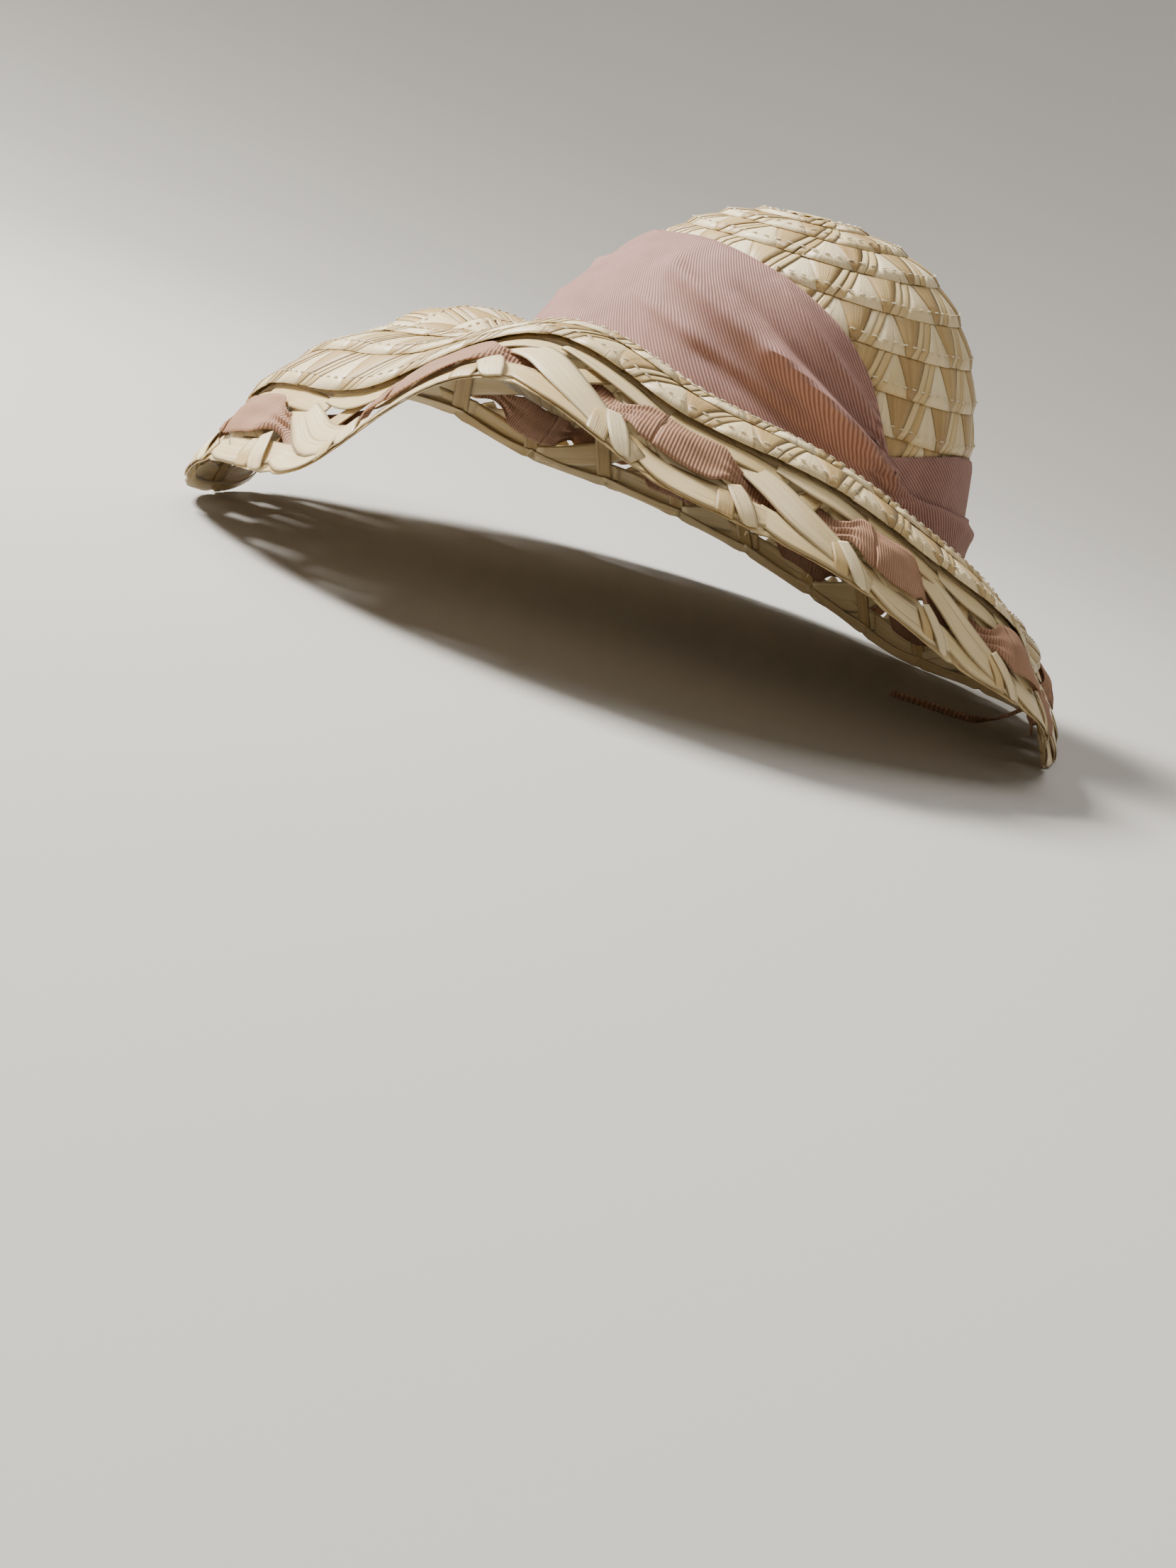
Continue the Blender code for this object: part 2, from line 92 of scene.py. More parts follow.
class Fold(NamedTuple):
    """One fold of the band, straight over the unrolled crown."""

    from_azimuth: float
    from_share: float
    to_azimuth: float
    to_share: float
    height: float
    half_width: float


BRIM = (
    BrimStation(-162, 3, -76, 0.98),
    BrimStation(-144, 12, -70, 0.98),
    BrimStation(-126, 21, -62, 0.98),
    BrimStation(-108, 27, -58, 0.98),
    BrimStation(-90, 32, -58, 0.98),
    BrimStation(-72, 42, -54, 0.98),
    BrimStation(-54, 36, -57, 0.96),
    BrimStation(-36, 0, -64, 0.945),
    BrimStation(-18, 5, -62, 0.985),
    BrimStation(0, 24, -57, 0.98),
    BrimStation(18, 38, -54, 0.99),
    BrimStation(36, 58, -23, 0.98),
    BrimStation(54, 54, -29, 0.98),
    BrimStation(72, 54, -35, 0.98),
    BrimStation(90, 45, -46, 0.98),
    BrimStation(108, 26, -47, 0.98),
    BrimStation(126, 1, -59, 0.95),
    BrimStation(144, -5, -59, 0.94),
    BrimStation(162, -4, -57, 0.96),
    BrimStation(180, 0, -65, 0.98),
)

BAND = (
    BandStation(-155, 0.145, 0.5),
    BandStation(-125, 0.16, 0.6),
    BandStation(-108, 0.20, 0.8),
    BandStation(-96, 0.32, 1.0),
    BandStation(-80, 0.47, 1.2),
    BandStation(-60, 0.55, 1.2),
    BandStation(-35, 0.585, 1.1),
    BandStation(-9, 0.60, 1.0),
    BandStation(23, 0.62, 1.0),
    BandStation(56, 0.58, 1.1),
    BandStation(72, 0.53, 1.2),
    BandStation(83, 0.475, 1.2),
    BandStation(92, 0.39, 1.1),
    BandStation(98, 0.28, 0.9),
    BandStation(105, 0.19, 0.7),
    BandStation(125, 0.165, 0.7),
    BandStation(160, 0.145, 0.5),
)

FOLDS = (
    Fold(20, 0.475, 62, 0.35, 0.75, 0.036),
    Fold(62, 0.35, 104, 0.195, 1.1, 0.022),
    Fold(104, 0.195, 150, 0.11, 0.8, 0.025),
    Fold(44, 0.29, 94, 0.17, -0.6, 0.03),
    Fold(58, 0.53, 99, 0.27, 0.4, 0.02),
    Fold(46, 0.48, 98, 0.235, -0.35, 0.022),
    Fold(-30, 0.50, 40, 0.54, 0.15, 0.05),
    Fold(20, 0.36, 74, 0.24, 0.3, 0.018),
    Fold(-36, 0.40, -98, 0.20, 0.7, 0.035),
    Fold(-30, 0.27, -104, 0.13, 0.5, 0.025),
    Fold(-104, 0.12, -160, 0.09, 0.6, 0.025),
)


def smoothstep(low: float, high: float, value: float) -> float:
    """Smooth 0 to 1 step of a value between two limits."""
    f = min(max((value - low) / (high - low), 0.0), 1.0)
    return f * f * (3 - 2 * f)


def around(stations: Sequence[NamedTuple], column: str, azimuth: float) -> float:
    """A column's value on a smooth closed curve through the stations.

    Args:
        stations: rows with an azimuth, in rising order.
        column: the column's name.
        azimuth: degrees.

    Returns:
        The value there.
    """
    count = len(stations)
    azimuth = (azimuth - stations[0].azimuth) % 360 + stations[0].azimuth
    index = max(i for i in range(count) if stations[i].azimuth <= azimuth + FINE)

    def knot(step: int) -> tuple[float, float]:
        """Azimuth and value of a nearby station.

        Args:
            step: stations from the one before the azimuth.

        Returns:
            Its azimuth, unwound, and its value.
        """
        turns, place = divmod(index + step, count)
        station = stations[place]
        return station.azimuth + 360 * turns, getattr(station, column)

    (x0, y0), (x1, y1), (x2, y2), (x3, y3) = (knot(step) for step in (-1, 0, 1, 2))
    span = x2 - x1
    slope1 = (y2 - y0) / (x2 - x0) * span
    slope2 = (y3 - y1) / (x3 - x1) * span
    f = (azimuth - x1) / span
    return (
        (2 * f**3 - 3 * f**2 + 1) * y1
        + (f**3 - 2 * f**2 + f) * slope1
        + (3 * f**2 - 2 * f**3) * y2
        + (f**3 - f**2) * slope2
    )


def jitter(*keys: float) -> float:
    """A fixed scatter from -1 to 1 that depends on the keys alone.

    Args:
        keys: numbers that tell one place from another.

    Returns:
        The scatter.
    """
    first, stride, start, spread = 1.37, 12.9898, 4.1, 43758.5453
    total = sum((i + first) * stride * key for i, key in enumerate(keys))
    value = math.sin(total + start) * spread
    return 2 * (value - math.floor(value)) - 1


def outward(azimuth: float) -> Vector:
    """The level direction from the crown's axis at an azimuth."""
    angle = math.radians(azimuth)
    return Vector((math.sin(angle), -math.cos(angle), 0.0))


@dataclass(frozen=True)
class HatForm:
    """Sizes of the hat's straw body and the lines that they make, in metres from the crown's axis."""

    foot_length: float = 0.200
    foot_width: float = 0.172
    oval_power: float = 2.15
    foot_height: float = 0.0665
    foot_front_rise: float = 0.0135
    foot_left_rise: float = -0.006
    crown_height: float = 0.104
    crown_flatness: float = 4.2
    crown_shoulder: float = 2.65
    crown_taper: float = 0.20
    front_slope: float = 0.34
    slope_power: float = 1.5
    slope_azimuth: float = -20
    front_drop: float = 0.008
    tip_left: float = -0.002
    tip_back: float = 0.001
    side_width: float = 0.116
    front_extra: float = 0.029
    turn_share: float = 0.40
    turn_length: float = 0.90
    wall: float = 0.0022
    edge_width: float = 0.037
    steps: int = 48
    march_steps: int = 96

    def foot_radius(self, azimuth: float) -> float:
        """Radius of the crown's foot.

        Args:
            azimuth: degrees.

        Returns:
            The radius of the foot's oval.
        """
        angle = math.radians(azimuth)
        across = abs(math.sin(angle)) / (self.foot_width / 2)
        along = abs(math.cos(angle)) / (self.foot_length / 2)
        return (across**self.oval_power + along**self.oval_power) ** (-1 / self.oval_power)

    def foot(self, azimuth: float) -> float:
        """Height of the crown's foot.

        Args:
            azimuth: degrees.

        Returns:
            Its height in metres.
        """
        angle = math.radians(azimuth)
        rise = self.foot_front_rise * math.cos(angle) + self.foot_left_rise * math.sin(angle)
        return self.foot_height + rise

    def brim_width(self, azimuth: float) -> float:
        """Length of the brim along its surface."""
        width = self.side_width + self.front_extra * math.cos(math.radians(azimuth))
        return width * around(BRIM, "width", azimuth)

    def edge_share(self, azimuth: float) -> float:
        """Where the sewn rows end and the open rim starts."""
        return 1 - self.edge_width / self.brim_width(azimuth)

    def brim_line(self, azimuth: float) -> list[tuple[Vector, Vector]]:
        """Points and normals from the crown's foot to the rim.

        Args:
            azimuth: degrees.

        Returns:
            The brim's outer line.
        """
        step = self.brim_width(azimuth) / self.steps
        rise = around(BRIM, "rise", azimuth)
        fall = around(BRIM, "fall", azimuth)
        start = self.turn_share - self.turn_length / 2
        radius = self.foot_radius(azimuth)
        height = self.foot(azimuth)

        def slope(share: float) -> float:
            """Slope in radians at a share of the width."""
            return math.radians(rise + (fall - rise) * smoothstep(start, start + self.turn_length, share))

        places = []
        for i in range(self.steps + 1):
            here = slope(i / self.steps)
            point = outward(azimuth) * radius + Vector((0, 0, height))
            normal = Vector((0, 0, math.cos(here))) - outward(azimuth) * math.sin(here)
            places.append((point, normal))
            ahead = slope((i + 0.5) / self.steps)
            radius += step * math.cos(ahead)
            height += step * math.sin(ahead)
        return places

    def crown_point(self, azimuth: float, march: float) -> Vector:
        """A point of the crown's outer line.

        Args:
            azimuth: degrees.
            march: 0 at the foot and 1 at the tip.

        Returns:
            The point.
        """
        rise = math.sin(march * math.pi / 2)
        radius = max(1 - rise**self.crown_flatness, 0.0) ** (1 / self.crown_shoulder)
        radius *= 1 - self.crown_taper * rise
        facing = (1 + math.cos(math.radians(azimuth - self.slope_azimuth))) / 2
        radius *= 1 - self.front_slope * rise * facing**self.slope_power
        drop = self.front_drop * rise * math.cos(math.radians(azimuth)) * radius
        foot = self.foot(azimuth) * (1 - rise) + self.foot_height * rise
        height = foot + self.crown_height * rise - drop
        centre = Vector((self.tip_left * rise, self.tip_back * rise, height))
        return centre + outward(azimuth) * self.foot_radius(azimuth) * radius

    def crown_line(self, azimuth: float) -> list[tuple[Vector, Vector]]:
        """Points and normals from the crown's foot to its tip, evenly spaced.

        Args:
            azimuth: degrees.

        Returns:
            The crown's outer line.
        """
        fine = [self.crown_point(azimuth, i / self.march_steps) for i in range(self.march_steps + 1)]
        lengths = [0.0]
        for low, high in zip(fine, fine[1:]):
            lengths.append(lengths[-1] + (high - low).length)
        places = []
        side = outward(azimuth + 90)
        for i in range(self.steps + 1):
            target = lengths[-1] * i / self.steps
            k = min(max(bisect.bisect_right(lengths, target) - 1, 0), self.march_steps - 1)
            f = (target - lengths[k]) / (lengths[k + 1] - lengths[k])
            along = (fine[k + 1] - fine[k]).normalized()
            places.append((fine[k].lerp(fine[k + 1], f), side.cross(along).normalized()))
        return places


class Skin:
    """A surface of the hat as a table of points and normals, read smoothly at any azimuth and share."""

    count = 360

    def __init__(self, line: Callable[[float], list[tuple[Vector, Vector]]], offset: Vector) -> None:
        """Fills the table.

        Args:
            line: gives the points and normals at an azimuth.
            offset: moves the surface into the part's frame.
        """
        self.lines = []
        for i in range(self.count):
            self.lines.append([(point + offset, normal) for point, normal in line(i - 180)])
        self.steps = len(self.lines[0]) - 1
        self.turns: dict[float, list[float]] = {}

    def at(self, azimuth: float, share: float, lift: float = 0.0) -> Vector:
        """The point at an azimuth and a share, lifted off the surface.

        Args:
            azimuth: degrees.
            share: share along the line, from 0 to 1.
            lift: metres outward.

        Returns:
            The point.
        """
        column = (azimuth + 180) % self.count
        i = int(column) % self.count
        fx = column - int(column)
        place = share * self.steps
        k = min(max(int(place), 0), self.steps - 1)
        fy = place - k
        left, right = self.lines[i], self.lines[(i + 1) % self.count]
        low, low_normal = (a.lerp(b, fx) for a, b in zip(left[k], right[k]))
        high, high_normal = (a.lerp(b, fx) for a, b in zip(left[k + 1], right[k + 1]))
        normal = low_normal.lerp(high_normal, min(max(fy, 0), 1))
        return low + (high - low) * fy + normal.normalized() * lift

    def ring(self, share: float) -> list[float]:
        """Distances round the surface at a share, from behind, one for every degree.

        Args:
            share: share along the line.

        Returns:
            The distances, which end with the whole way round.
        """
        key = round(share, 3)
        if key not in self.turns:
            points = [self.at(i - 180, key) for i in range(self.count + 1)]
            total = [0.0]
            for a, b in zip(points, points[1:]):
                total.append(total[-1] + (b - a).length)
            self.turns[key] = total
        return self.turns[key]

    def azimuth_at(self, share: float, turn: float) -> float:
        """The azimuth at a part of the way round, from 0 to 1.

        Args:
            share: share along the line.
            turn: part of the way round from behind; whole turns are kept.

        Returns:
            The azimuth in degrees.
        """
        whole = math.floor(turn)
        total = self.ring(share)
        target = (turn - whole) * total[-1]
        i = min(max(bisect.bisect_right(total, target) - 1, 0), self.count - 1)
        f = (target - total[i]) / (total[i + 1] - total[i])
        return i + f - 180 + 360 * whole


class Strand(NamedTuple):
    """One strand of a plait period.

    Its corners are shares of the period and its lifts are in millimetres. Its tone runs from dark to pale.
    Its width is in metres and its overhang is a share of the row.
    """

    top_left: float
    top_right: float
    foot_left: float
    foot_right: float
    lift_left: float
    lift_right: float
    tone: float
    width: float
    overhang: float


# The wide first strand is painted darkest: partly the leaf's own ochre, partly a painted reflection of the
# dark surroundings on its smooth face; in full light the strands look nearly alike.
PLAIT = (
    Strand(-0.02, 0.62, 0.19, 0.29, 0.30, 0.42, 0.04, 0.010, 0.0),
    Strand(0.62, 0.765, 0.285, 0.415, 0.10, 0.42, 0.58, 0.004, 0.0),
    Strand(0.775, 0.92, 0.425, 0.555, 0.10, 0.42, 0.38, 0.004, 0.0),
    Strand(0.91, 1.01, 0.545, 1.24, 0.12, 0.08, 0.86, 0.010, 0.012),
)


def make_object(
    bm: bmesh.types.BMesh, name: str, material: bpy.types.Material, sharp_from: float = 180
) -> bpy.types.Object:
    """Makes a finished mesh a smooth-shaded object of the scene.

    Args:
        bm: the mesh, which is freed.
        name: the object's name.
        material: its finish.
        sharp_from: degrees between two faces from which their edge is sharp.

    Returns:
        The object.
    """
    mesh = bpy.data.meshes.new(name)
    bm.to_mesh(mesh)
    bm.free()
    mesh.materials.append(material)
    mesh.shade_smooth()
    if sharp_from < 180:
        mesh.set_sharp_from_angle(angle=math.radians(sharp_from))
    made = bpy.data.objects.new(name, mesh)
    bpy.context.scene.collection.objects.link(made)
    return made


def new_grid(
    bm: bmesh.types.BMesh, across: int, along: int
) -> list[tuple[bmesh.types.BMVert, float, float]]:
    """A flat grid in the mesh.

    Args:
        bm: the mesh.
        across: cells across.
        along: cells along.

    Returns:
        Each vertex with its place across and along, both from 0 to 1.
    """
    made = bmesh.ops.create_grid(bm, x_segments=across, y_segments=along, size=1.0)["verts"]
    return [(vert, (vert.co.x + 1) / 2, (vert.co.y + 1) / 2) for vert in made]


class PieceMesh:
    """A bmesh with a UV map, a tone and a place across the strand, which becomes one object."""

    sharp_from = 50

    def __init__(self) -> None:
        """Starts empty."""
        self.bm = bmesh.new()
        self.tone = self.bm.verts.layers.float.new("tone")
        self.side = self.bm.verts.layers.float.new("side")
        self.u = self.bm.verts.layers.float.new("along_u")
        self.v = self.bm.verts.layers.float.new("across_v")

    def patch(
        self,
        across: int,
        along: int,
        place: Callable[[float, float], Vector],
        tone: float,
        size: tuple[float, float],
        shift: float = 0.0,
    ) -> None:
        """Adds a grid bent to a shape.

        Args:
            across: cells across.
            along: cells along.
            place: gives the point for a place across and along.
            tone: brightness of the strand, from 0 to 1.
            size: width and length in metres, for the pattern.
            shift: moves the pattern, so that no two strands match.
        """
        for vert, x, y in new_grid(self.bm, across, along):
            vert.co = place(x, y)
            vert[self.tone] = tone
            vert[self.side] = abs(2 * x - 1)
            vert[self.u] = x * size[0] + shift
            vert[self.v] = y * size[1]

    def finish(self, name: str, material: bpy.types.Material, wall: float = 0.0) -> bpy.types.Object:
        """Makes the object.

        Args:
            name: the piece's name.
            material: its finish.
            wall: thickness that Solidify gives, inward from the face.

        Returns:
            The object, in the scene.
        """
        uv = self.bm.loops.layers.uv.new("weave")
        for face in self.bm.faces:
            for loop in face.loops:
                loop[uv].uv = (loop.vert[self.u], loop.vert[self.v])
        piece = make_object(self.bm, name, material, self.sharp_from)
        if wall:
            solid = piece.modifiers.new("leaf", "SOLIDIFY")
            solid.thickness = wall
            solid.offset = -1.0
        return piece


class Value:
    """A shader socket in an expression. Operators add Math nodes."""

    def __init__(self, graph: "Graph", socket: bpy.types.NodeSocket) -> None:
        """Wraps a socket."""
        self.graph = graph
        self.socket = socket

    def _math(self, operation: str, *values: object) -> "Value":
        """Adds a Math node on the values."""
        inputs = {i: value for i, value in enumerate(values)}
        return self.graph.node("ShaderNodeMath", {"operation": operation}, inputs)

    def __add__(self, other: object) -> "Value":
        """Sum."""
        return self._math("ADD", self, other)

    __radd__ = __add__

    def __sub__(self, other: object) -> "Value":
        """Difference."""
        return self._math("SUBTRACT", self, other)

    def __rsub__(self, other: float) -> "Value":
        """Reflected difference."""
        return self._math("SUBTRACT", other, self)

    def __mul__(self, other: object) -> "Value":
        """Product."""
        return self._math("MULTIPLY", self, other)

    __rmul__ = __mul__

    def __pow__(self, other: float) -> "Value":
        """Power."""
        return self._math("POWER", self, other)

    def sine(self) -> "Value":
        """Sine."""
        return self._math("SINE", self)

    def fraction(self) -> "Value":
        """Part after the point."""
        return self._math("FRACT", self)

    def absolute(self) -> "Value":
        """Absolute value."""
        return self._math("ABSOLUTE", self)

    def above(self, limit: object) -> "Value":
        """1 where the value is greater than the limit."""
        return self._math("GREATER_THAN", self, limit)

    def clamped(self) -> "Value":
        """The value held between 0 and 1."""
        return self._math("MINIMUM", self._math("MAXIMUM", self, 0.0), 1.0)

    def hump(self, power: float) -> "Value":
        """1 in the middle of a span from 0 to 1, and 0 at its ends."""
        return 1.0 - ((self - 0.5).absolute() * 2.0) ** power


class Graph:
    """The node tree of one material."""

    def __init__(self, name: str) -> None:
        """Starts a material with its Principled shader.

        Args:
            name: the material's name.
        """
        self.material = bpy.data.materials.new(name)
        self.material.use_nodes = True
        self.tree = self.material.node_tree
        self.shader = self.tree.nodes["Principled BSDF"]

    def node(self, kind: str, settings: dict, inputs: dict, output: object = 0) -> Value:
        """Adds a node.

        Args:
            kind: its type.
            settings: properties set first; a ramp's stops come as (place, colour) pairs.
            inputs: values or links, by socket name or number.
            output: the socket wanted.

        Returns:
            The output as a value.
        """
        made = self.tree.nodes.new(kind)
        for key, value in settings.items():
            if key == "stops":
                ramp = made.color_ramp
                while len(ramp.elements) < len(value):
                    ramp.elements.new(0.5)
                for element, (place, colour) in zip(ramp.elements, value):
                    element.position = place
                    element.color = colour
            else:
                setattr(made, key, value)
        for key, value in inputs.items():
            if isinstance(value, Value):
                self.tree.links.new(value.socket, made.inputs[key])
            else:
                made.inputs[key].default_value = value
        return Value(self, made.outputs[output])

    def feed(self, **sockets: object) -> None:
        """Sets or links the shader's sockets, with _ for a space.

        Args:
            sockets: a value or a constant for each socket.
        """
        for key, value in sockets.items():
            target = self.shader.inputs[key.replace("_", " ")]
            if isinstance(value, Value):
                self.tree.links.new(value.socket, target)
            else:
                target.default_value = value

    def bump(self, height: Value, strength: float, distance: float) -> None:
        """Feeds a height through Bump to the normal."""
        inputs = {"Height": height, "Strength": strength, "Distance": distance}
        self.feed(Normal=self.node("ShaderNodeBump", {}, inputs, "Normal"))

    def weave_axes(self) -> tuple[Value, Value]:
        """The UV map's two coordinates.

        Returns:
            U and V.
        """
        uv = self.node("ShaderNodeUVMap", {"uv_map": "weave"}, {}, "UV")
        parts = self.node("ShaderNodeSeparateXYZ", {}, {0: uv}, "X")
        return parts, Value(self, parts.socket.node.outputs["Y"])

    def pack(self, x: object, y: object) -> Value:
        """A vector from two values."""
        return self.node("ShaderNodeCombineXYZ", {}, {"X": x, "Y": y}, "Vector")

    def noise(self, vector: Value, scale: float, detail: float = 3.0) -> Value:
        """Noise from 0 to 1.

        Args:
            vector: where it is read.
            scale: its scale.
            detail: its octaves.

        Returns:
            The noise.
        """
        inputs = {"Vector": vector, "Scale": scale, "Detail": detail}
        return self.node("ShaderNodeTexNoise", {}, inputs, "Fac")

    def grain(self, axes: tuple[Value, Value], scale: tuple[float, float], detail: float) -> Value:
        """Noise over the surface, with a scale for each axis."""
        return self.noise(self.pack(axes[0] * scale[0], axes[1] * scale[1]), 1.0, detail)

    def attribute(self, name: str) -> Value:
        """A number that the mesh carries."""
        return self.node("ShaderNodeAttribute", {"attribute_name": name}, {}, "Fac")

    def place(self) -> Value:
        """Object coordinates."""
        return self.node("ShaderNodeTexCoord", {}, {}, "Object")

    def ramp(self, factor: Value, *stops: tuple[float, tuple[float, float, float]]) -> Value:
        """A colour from a factor."""
        full = [(place, (*colour, 1.0)) for place, colour in stops]
        return self.node("ShaderNodeValToRGB", {"stops": full}, {"Fac": factor}, "Color")

    def blend(self, factor: Value, low: Value, high: tuple[float, float, float]) -> Value:
        """A colour that turns into another one."""
        settings = {"data_type": "RGBA", "blend_type": "MIX"}
        return self.node("ShaderNodeMix", settings, {0: factor, 6: low, 7: (*high, 1.0)}, 2)


@dataclass(frozen=True)
class StrawFinish:
    """Palm leaf: fine lengthwise grain, splits, painted shade along each strand's sides where it meets the
    next, and a slight gloss.
    """

    dark: tuple[float, float, float] = (0.27, 0.155, 0.055)
    middle: tuple[float, float, float] = (0.58, 0.415, 0.18)
    pale: tuple[float, float, float] = (0.86, 0.745, 0.49)
    # Painted shade: the dark colour that each strand's sides are blended towards, where it meets the next
    # strand.
    edge: tuple[float, float, float] = (0.13, 0.075, 0.03)
    roughness: float = 0.34
    specular: float = 0.55
    grain_scale: tuple[float, float] = (2600.0, 60.0)
    broad_scale: tuple[float, float] = (500.0, 25.0)
    streak_scale: tuple[float, float] = (900.0, 14.0)
    stain_scale: float = 38.0
    split_from: float = 0.585
    side_shade_from: float = 0.80
    bump_depth: float = 0.0007

    def material(self, name: str) -> bpy.types.Material:
        """Builds the material for strands with a weave UV map, a tone and a side.

        Args:
            name: the material's name.

        Returns:
            The material.
        """
        graph = Graph(name)
        axes = graph.weave_axes()
        grain = graph.grain(axes, self.grain_scale, 2.0)
        broad = graph.grain(axes, self.broad_scale, 2.0)
        streak = graph.grain(axes, self.streak_scale, 4.0)
        stain = graph.noise(graph.place(), self.stain_scale, 3.0)
        leaf = grain * 0.26 + broad * 0.30 + stain * 0.30 + streak * 0.40
        factor = (graph.attribute("tone") * 0.66 + leaf - 0.47).clamped()
        colour = graph.ramp(factor, (0.0, self.dark), (0.42, self.middle), (1.0, self.pale))
        split = ((streak - self.split_from) * 10.0).clamped()
        colour = graph.blend(split * 0.55, colour, self.dark)
        # Painted shade: each strand darkens towards its long sides, where it meets the next strand.
        side_shade = ((graph.attribute("side") - self.side_shade_from) * 5.0).clamped()
        colour = graph.blend(side_shade * 0.62, colour, self.edge)
        graph.feed(Base_Color=colour, Roughness=self.roughness + grain * 0.18)
        graph.feed(Specular_IOR_Level=self.specular)
        graph.bump(grain * 0.4 + streak * 0.6 - split * 0.4, 0.5, self.bump_depth)
        return graph.material


@dataclass(frozen=True)
class PlaitWallFinish:
    """The straw wall behind the strands, which shows inside and below as flat plaiting."""

    shade: tuple[float, float, float] = (0.36, 0.255, 0.115)
    light: tuple[float, float, float] = (0.66, 0.54, 0.32)
    # Painted shade: the dark colour that the grooves between strands and the seams between rows are blended
    # towards.
    gap: tuple[float, float, float] = (0.14, 0.09, 0.04)
    slant: float = 0.55
    strands: float = 3.0
    strand_edge: float = 6.0
    seam_edge: float = 14.0
    lower_height: float = 0.8
    grain_scale: tuple[float, float] = (70.0, 9.0)
    stain_scale: float = 30.0
    bump_depth: float = 0.0009

    def material(self, name: str) -> bpy.types.Material:
        """Builds the material. U counts plait periods and V counts rows.

        Args:
            name: the material's name.

        Returns:
            The material.
        """
        graph = Graph(name)
        u, v = graph.weave_axes()
        row = v.fraction()
        rising = (u + row * self.slant).fraction()
        falling = (u - row * self.slant).fraction()
        over = (rising - falling).absolute().above(0.5)
        upper = (rising * self.strands).fraction().hump(self.strand_edge)
        lower = (falling * self.strands).fraction().hump(self.strand_edge) * self.lower_height
        height = (over * upper + (1.0 - over) * lower) * row.hump(self.seam_edge)
        grain = graph.grain((u, v), self.grain_scale, 3.0)
        stain = graph.noise(graph.place(), self.stain_scale, 3.0)
        factor = (over * 0.22 + grain * 0.5 + stain * 0.3).clamped()
        colour = graph.ramp(factor, (0.15, self.shade), (0.85, self.light))
        # Painted shade: the colour darkens where the relief is low, in the grooves between strands and at
        # the rows' seams.
        colour = graph.blend((1.0 - height) * 0.75, colour, self.gap)
        graph.feed(Base_Color=colour, Roughness=0.5 + grain * 0.15)
        graph.bump(height, 0.6, self.bump_depth)
        return graph.material


@dataclass(frozen=True)
class RibbedClothFinish:
    """Grosgrain: fine raised ribs with a soft sheen."""

    dark: tuple[float, float, float]
    light: tuple[float, float, float]
    slant: float
    rib: float = 0.0013
    thread: float = 0.00042
    roughness: float = 0.78
    sheen: float = 0.22
    sheen_roughness: float = 0.4
    waver_scale: tuple[float, float] = (60.0, 60.0)
    cloud_scale: float = 22.0
    worn_scale: float = 140.0
    bump_depth: float = 0.00045

    def material(self, name: str) -> bpy.types.Material:
        """Builds the material. U and V are metres over the cloth, and the ribs' slant is in degrees.

        Args:
            name: the material's name.

        Returns:
            The material.
        """
        graph = Graph(name)
        u, v = graph.weave_axes()
        cosine, sine = math.cos(math.radians(self.slant)), math.sin(math.radians(self.slant))
        along = u * cosine + v * sine
        across = v * cosine - u * sine
        waver = graph.grain((u, v), self.waver_scale, 2.0)
        ribs = ((along * (2 * math.pi / self.rib) + waver * 0.5).sine() + 1.0) * 0.5
        threads = ((across * (2 * math.pi / self.thread)).sine() + 1.0) * 0.5
        cloud = graph.noise(graph.place(), self.cloud_scale, 4.0)
        worn = graph.noise(graph.place(), self.worn_scale, 2.0)
        # Painted shade: the colour darkens in the grooves between ribs and between threads; the cloud and
        # worn noise add tone that differs at random.
        factor = (ribs * 0.46 + threads * 0.08 + cloud * 0.50 + worn * 0.20 - 0.16).clamped()
        colour = graph.ramp(factor, (0.05, self.dark), (0.95, self.light))
        graph.feed(Base_Color=colour, Roughness=self.roughness - ribs * 0.14)
        graph.feed(Sheen_Weight=self.sheen, Sheen_Roughness=self.sheen_roughness)
        graph.feed(Sheen_Tint=(*self.light, 1.0))
        graph.bump(ribs * 0.85 + threads * 0.15, 0.55, self.bump_depth)
        return graph.material


@dataclass(frozen=True)
class ThreadFinish:
    """Pale cotton sewing thread."""

    colour: tuple[float, float, float] = (0.80, 0.72, 0.54)
    shade: float = 0.7
    fleck_scale: float = 900.0
    roughness: float = 0.8

    def material(self, name: str) -> bpy.types.Material:
        """Builds the material.

        Args:
            name: the material's name.

        Returns:
            The material.
        """
        graph = Graph(name)
        fleck = graph.noise(graph.place(), self.fleck_scale, 1.0)
        shade = tuple(c * self.shade for c in self.colour)
        colour = graph.ramp(fleck, (0.2, shade), (0.8, self.colour))
        graph.feed(Base_Color=colour, Roughness=self.roughness)
        return graph.material


@dataclass(frozen=True)
class StudioFinish:
    """Matt pale paint for the floor and its curved wall."""

    colour: tuple[float, float, float] = (0.50, 0.48, 0.445)
    lift: float = 1.05
    shade: float = 0.97
    cloud_scale: float = 1.3
    roughness: float = 0.9

    def material(self, name: str) -> bpy.types.Material:
        """Builds the material.

        Args:
            name: the material's name.

        Returns:
            The material.
        """
        graph = Graph(name)
        cloud = graph.noise(graph.place(), self.cloud_scale, 2.0)
        lit = tuple(c * self.lift for c in self.colour)
        low = tuple(c * self.shade for c in self.colour)
        graph.feed(Base_Color=graph.ramp(cloud, (0.2, low), (0.8, lit)), Roughness=self.roughness)
        return graph.material


Span = Callable[[float], tuple[float, float]]


class RowPlan(NamedTuple):
    """One sewn row: its number, its sewn and hidden shares, its middle share, its periods and its phase."""

    number: int
    span: Span
    middle: float
    periods: int
    phase: float


